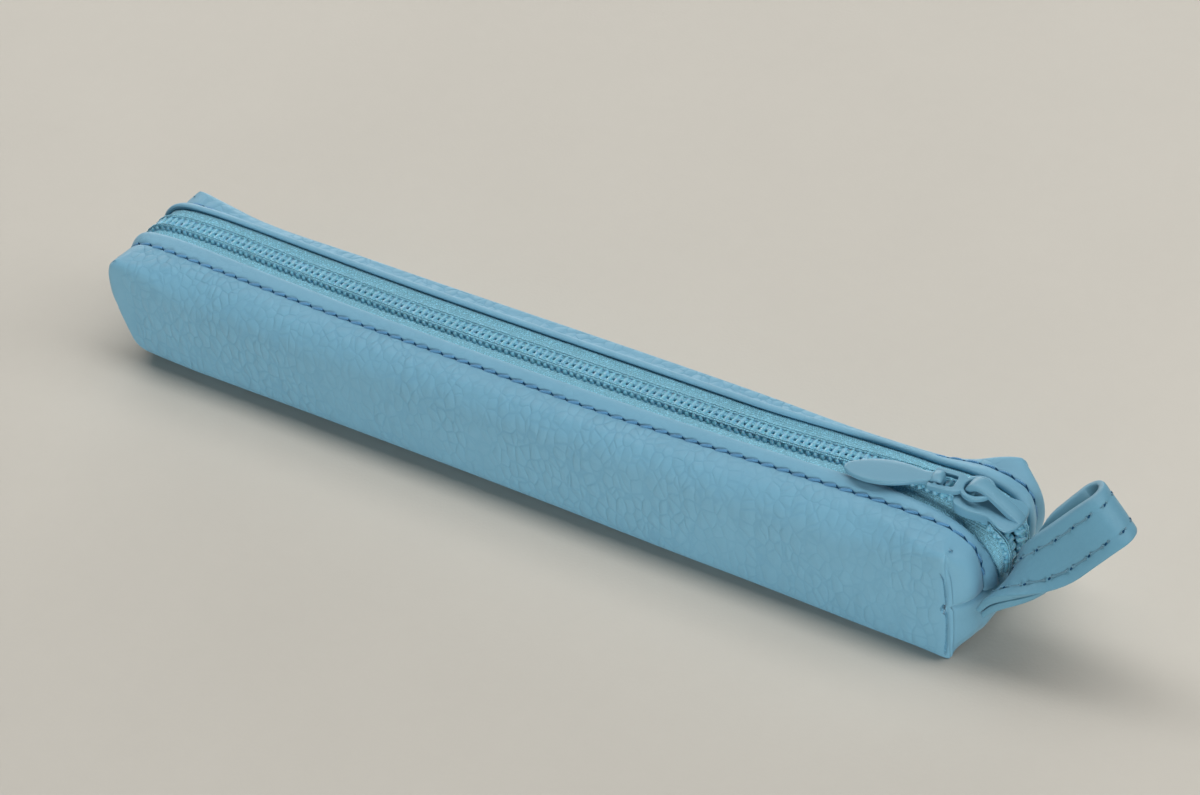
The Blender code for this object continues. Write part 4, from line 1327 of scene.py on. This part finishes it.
def loop_root():
    low, high = ROOT_ACROSS - STRAP_WIDTH / 2, ROOT_ACROSS + STRAP_WIDTH / 2
    ends = [Vector((end_reach(y / HALF_WIDTH, 0.0), y, MIDDLE)) for y in (low, high)]
    along_seam = (ends[1] - ends[0]).normalized()
    outward = along_seam.cross(Vector((0.0, 0.0, 1.0)))
    crown = Vector((end_reach(ROOT_ACROSS / HALF_WIDTH, 0.0), ROOT_ACROSS, MIDDLE))
    return crown + outward * (0.3 + ROOT_RADIUS), outward, along_seam


def loop_point(along, off, across):
    """A point of the strap, and its directions along, across and outward."""
    middle, outward, along_seam = loop_root()
    end_heading, end_width, _ = square_frame(END_HEADING, END_WIDTH)
    start_heading = outward * math.cos(RISE) + Vector((0.0, 0.0, math.sin(RISE)))
    handle = BEND * LOOP_LENGTH
    chord = (start_heading + end_heading).normalized()
    tip = middle + chord * REACH
    nodes = (middle, middle + start_heading * handle, tip - end_heading * handle, tip)
    share = min(max(along / REACH, 0.0), 1.0)
    rest = 1 - share
    place = (nodes[0] * rest ** 3 + nodes[1] * 3 * rest ** 2 * share
             + nodes[2] * 3 * rest * share ** 2 + nodes[3] * share ** 3)
    ahead = ((nodes[1] - nodes[0]) * rest ** 2 + (nodes[2] - nodes[1]) * 2 * rest * share
             + (nodes[3] - nodes[2]) * share ** 2)
    turn = smooth(share / TWIST)
    ahead, width, outside = square_frame(ahead, along_seam * (1 - turn) + end_width * turn)
    point = place + ahead * (along - share * REACH) + outside * off + width * (across - LEAN * turn * off)
    return np.array(point), np.array(ahead), np.array(width), np.array(outside)


def loop_ring(inset, root, steps=26, legs=22):
    """The strap seen from its edge: (along, off) points down one leg, round the tip and back."""
    tip = TIP_RADIUS - inset
    tilt = math.asin((tip - root) / (REACH - LOOP_START))

    def leg(step, way):
        share = step / legs
        radius = tip + (root - tip) * share
        return (REACH + (LOOP_START - REACH) * share - radius * math.sin(tilt), way * radius * math.cos(tilt))

    points = [leg(step, -1) for step in range(legs, 0, -1)]
    for step in range(steps + 1):
        angle = -math.pi / 2 - tilt + (math.pi + 2 * tilt) * step / steps
        points.append((REACH + tip * math.cos(angle), tip * math.sin(angle)))
    return points + [leg(step, 1) for step in range(1, legs + 1)]


# Across the strap as a share of its half width, and the leather's height there: low at its rims and stitches
STRAP_SECTION = ((-1.0, -0.42), (-0.985, -0.17), (-0.93, -0.03), (-0.8, 0.03), (-0.62, 0.0), (-0.546, -0.12),
                 (-0.47, 0.0), (-0.25, 0.03), (0.0, 0.04), (0.25, 0.03), (0.47, 0.0), (0.546, -0.12),
                 (0.62, 0.0), (0.8, 0.03), (0.93, -0.03), (0.985, -0.17), (1.0, -0.42))


def strap_mesh(outer):
    """The strap between its outside and its inside, whose two legs lie together at the root."""
    opening = -(TIP_RADIUS - STRAP_THICK) * (FUSED - LOOP_START) / (REACH - FUSED)
    inner = loop_ring(STRAP_THICK, opening)
    rows = []
    for index, ((along, off), (along_in, off_in)) in enumerate(zip(outer, inner)):
        if along_in < REACH:
            way = 1 if index > len(inner) / 2 else -1
            off_in = way * max(0.03, way * off_in)
        reach = math.hypot(along - REACH, off) if along > REACH else abs(off)
        ahead, aside = max(0.0, along - REACH) / reach, off / reach
        outside, inside = [], []
        for column, dip in STRAP_SECTION:
            across = column * STRAP_WIDTH / 2
            outside.append(loop_point(along + ahead * dip, off + aside * dip, across)[0])
            inside.append(loop_point(along_in - ahead * dip * 0.6, off_in - aside * dip * 0.6, across)[0])
        rows.append(outside + inside[::-1])
    return skin_mesh("strap", rows)


def strap_stitch_frame(outer, lengths, across):
    """Places along a row of the strap's stitching, by the length along its outside."""
    alongs, offs = zip(*outer)

    def point_at(length):
        return loop_point(float(np.interp(length, lengths, alongs)), float(np.interp(length, lengths, offs)),
                          across)

    def frames(length):
        point, _, width, _ = point_at(length)
        step = point_at(length + 0.3)[0] - point
        ahead = unit(step) if np.linalg.norm(step) > 1e-6 else width
        out = unit(np.cross(ahead, width))
        return point - out * 0.05, ahead, out, width
    return frames


class OBJECT_OT_pen_case_loop(bpy.types.Operator):
    """Build the wrist loop and its stitching"""
    bl_idname = "object.pen_case_loop"
    bl_label = "Wrist Loop"

    def execute(self, context):
        outer = loop_ring(0.0, ROOT_RADIUS)
        strap = add_piece("wrist_loop", strap_mesh(outer), finishes["strap"], "wrist_loop")
        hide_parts("wrist_strap")
        lengths = [0.0]
        for (a, b), (c, d) in zip(outer, outer[1:]):
            lengths.append(lengths[-1] + math.hypot(c - a, d - b))
        step = sizes().stitch_length / MM * 1.06
        places = [1.6 + step * index for index in range(int((lengths[-1] - 3.0) / step) + 1)]
        radius = sizes().thread_radius / MM * 0.7
        for name, node, across in (("lower", "strap_stitching_lower", -ROW),
                                   ("upper", "strap_stitching_upper", ROW)):
            frames = strap_stitch_frame(outer, lengths, across)
            thread, holes = stitch_meshes(places, frames, radius, 0.1, 0.3, 0.2)
            sewn = add_piece(f"loop_stitching_{name}", thread, finishes["strap_thread"],
                             "wrist_loop")
            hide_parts(node)
            # the strap's needle holes: dark slits of painted shade
            add_piece(f"loop_needle_holes_{name}", holes, finishes["hole"], "wrist_loop")
        return {"FINISHED"}


# Materials and stage

class OBJECT_OT_pen_case_finishes(bpy.types.Operator):
    """Build the materials"""
    bl_idname = "object.pen_case_finishes"
    bl_label = "Materials"

    def execute(self, context):
        make_groups()
        make_finishes()
        return {"FINISHED"}


# Name, place, size and power of each light, in metres and watts
LIGHTS = (("key_light", (0.0, 0.15, 1.0), (2.4, 0.3), 10.4),
          ("high_light", (0.0, 0.5, 0.95), (3.0, 0.4), 4.6),
          ("front_light", (0.5, -1.4, 0.11), (1.2, 0.2), 14.5),
          ("side_light", (0.95, 0.35, 0.6), (0.5, 0.4), 2.1),
          ("back_light", (-0.96, 1.15, 0.3), (1.2, 0.3), 9.0))
VIEW_DEGREES = (39.84, 38.22, -8.18)          # round the case, up, and rolled
VIEW_BACK, VIEW_RIGHT, VIEW_UP = 598.53, 9.69, 11.07


class SCENE_OT_pen_case_stage(bpy.types.Operator):
    """Build the floor, the lights and the camera"""
    bl_idname = "scene.pen_case_stage"
    bl_label = "Studio Stage"

    def execute(self, context):
        scene = context.scene
        bm = bmesh.new()
        bmesh.ops.create_grid(bm, x_segments=1, y_segments=1, size=3.0)
        floor = bpy.data.objects.new("floor", finished(bm, "floor"))
        scene.collection.objects.link(floor)
        floor.data.materials.append(floor_material("Pale Floor", tuple(colours().floor)))

        world = bpy.data.worlds.new("Soft Room")
        scene.world = world
        world.use_nodes = True
        backdrop = world.node_tree.nodes["Background"]
        backdrop.inputs["Color"].default_value = (0.95, 0.97, 1.0, 1.0)
        backdrop.inputs["Strength"].default_value = 0.08
        for name, place, size, power in LIGHTS:
            lamp = bpy.data.lights.new(name, "AREA")
            lamp.shape = "RECTANGLE"
            lamp.size, lamp.size_y = size
            lamp.energy = power
            light = bpy.data.objects.new(name, lamp)
            scene.collection.objects.link(light)
            light.location = place
            light.visible_camera = False
            light.rotation_euler = (-Vector(place)).to_track_quat("-Z", "Y").to_euler()

        azimuth, elevation, roll = (math.radians(angle) for angle in VIEW_DEGREES)
        back = Vector((math.sin(azimuth) * math.cos(elevation), -math.cos(azimuth) * math.cos(elevation),
                       math.sin(elevation)))
        right = Vector((math.cos(azimuth), math.sin(azimuth), 0.0))
        up = back.cross(right)
        right, up = (right * math.cos(roll) + up * math.sin(roll),
                     up * math.cos(roll) - right * math.sin(roll))
        camera = bpy.data.objects.new("camera", bpy.data.cameras.new("camera"))
        scene.collection.objects.link(camera)
        camera.data.lens = 90.0
        camera.data.sensor_width = 36.0
        camera.data.clip_start = 0.01
        turn = Matrix((right, up, back)).transposed().to_4x4()
        place = (back * VIEW_BACK + right * VIEW_RIGHT + up * VIEW_UP) * MM
        camera.matrix_world = Matrix.Translation(place) @ turn
        scene.camera = camera
        scene.view_settings.view_transform = "Standard"
        return {"FINISHED"}


class VIEW3D_PT_pen_case(bpy.types.Panel):
    """Sizes, colours and pieces of the pen case"""
    bl_idname = "VIEW3D_PT_pen_case"
    bl_label = "Pen Case"
    bl_space_type = "VIEW_3D"
    bl_region_type = "UI"
    bl_category = "Pen Case"

    def draw(self, context):
        layout = self.layout
        for group in (context.scene.pen_case_sizes, context.scene.pen_case_colours):
            box = layout.box()
            for label in group.bl_rna.properties.keys():
                if label not in ("rna_type", "name"):
                    box.prop(group, label)
        for operator in OPERATORS:
            layout.operator(operator.bl_idname)


OPERATORS = (OBJECT_OT_pen_case_finishes, SCENE_OT_pen_case_stage, OBJECT_OT_pen_case_leather,
             OBJECT_OT_pen_case_lining, OBJECT_OT_pen_case_edges, OBJECT_OT_pen_case_tape,
             OBJECT_OT_pen_case_coil, OBJECT_OT_pen_case_topstitch, OBJECT_OT_pen_case_slider,
             OBJECT_OT_pen_case_pull, OBJECT_OT_pen_case_loop)
CLASSES = (PenCaseSizes, PenCaseColours, *OPERATORS, VIEW3D_PT_pen_case)


def register():
    for item in CLASSES:
        bpy.utils.register_class(item)
    bpy.types.Scene.pen_case_sizes = bpy.props.PointerProperty(type=PenCaseSizes)
    bpy.types.Scene.pen_case_colours = bpy.props.PointerProperty(type=PenCaseColours)


def unregister():
    del bpy.types.Scene.pen_case_colours
    del bpy.types.Scene.pen_case_sizes
    for item in reversed(CLASSES):
        bpy.utils.unregister_class(item)


def main():
    register()
    bpy.ops.object.pen_case_finishes()
    bpy.ops.scene.pen_case_stage()
    bpy.ops.object.pen_case_leather()
    bpy.ops.object.pen_case_lining()
    bpy.ops.object.pen_case_edges()
    bpy.ops.object.pen_case_tape()
    bpy.ops.object.pen_case_coil()
    bpy.ops.object.pen_case_topstitch()
    bpy.ops.object.pen_case_slider()
    bpy.ops.object.pen_case_pull()
    bpy.ops.object.pen_case_loop()
    bpy.context.view_layer.update()


if __name__ == "__main__":
    main()
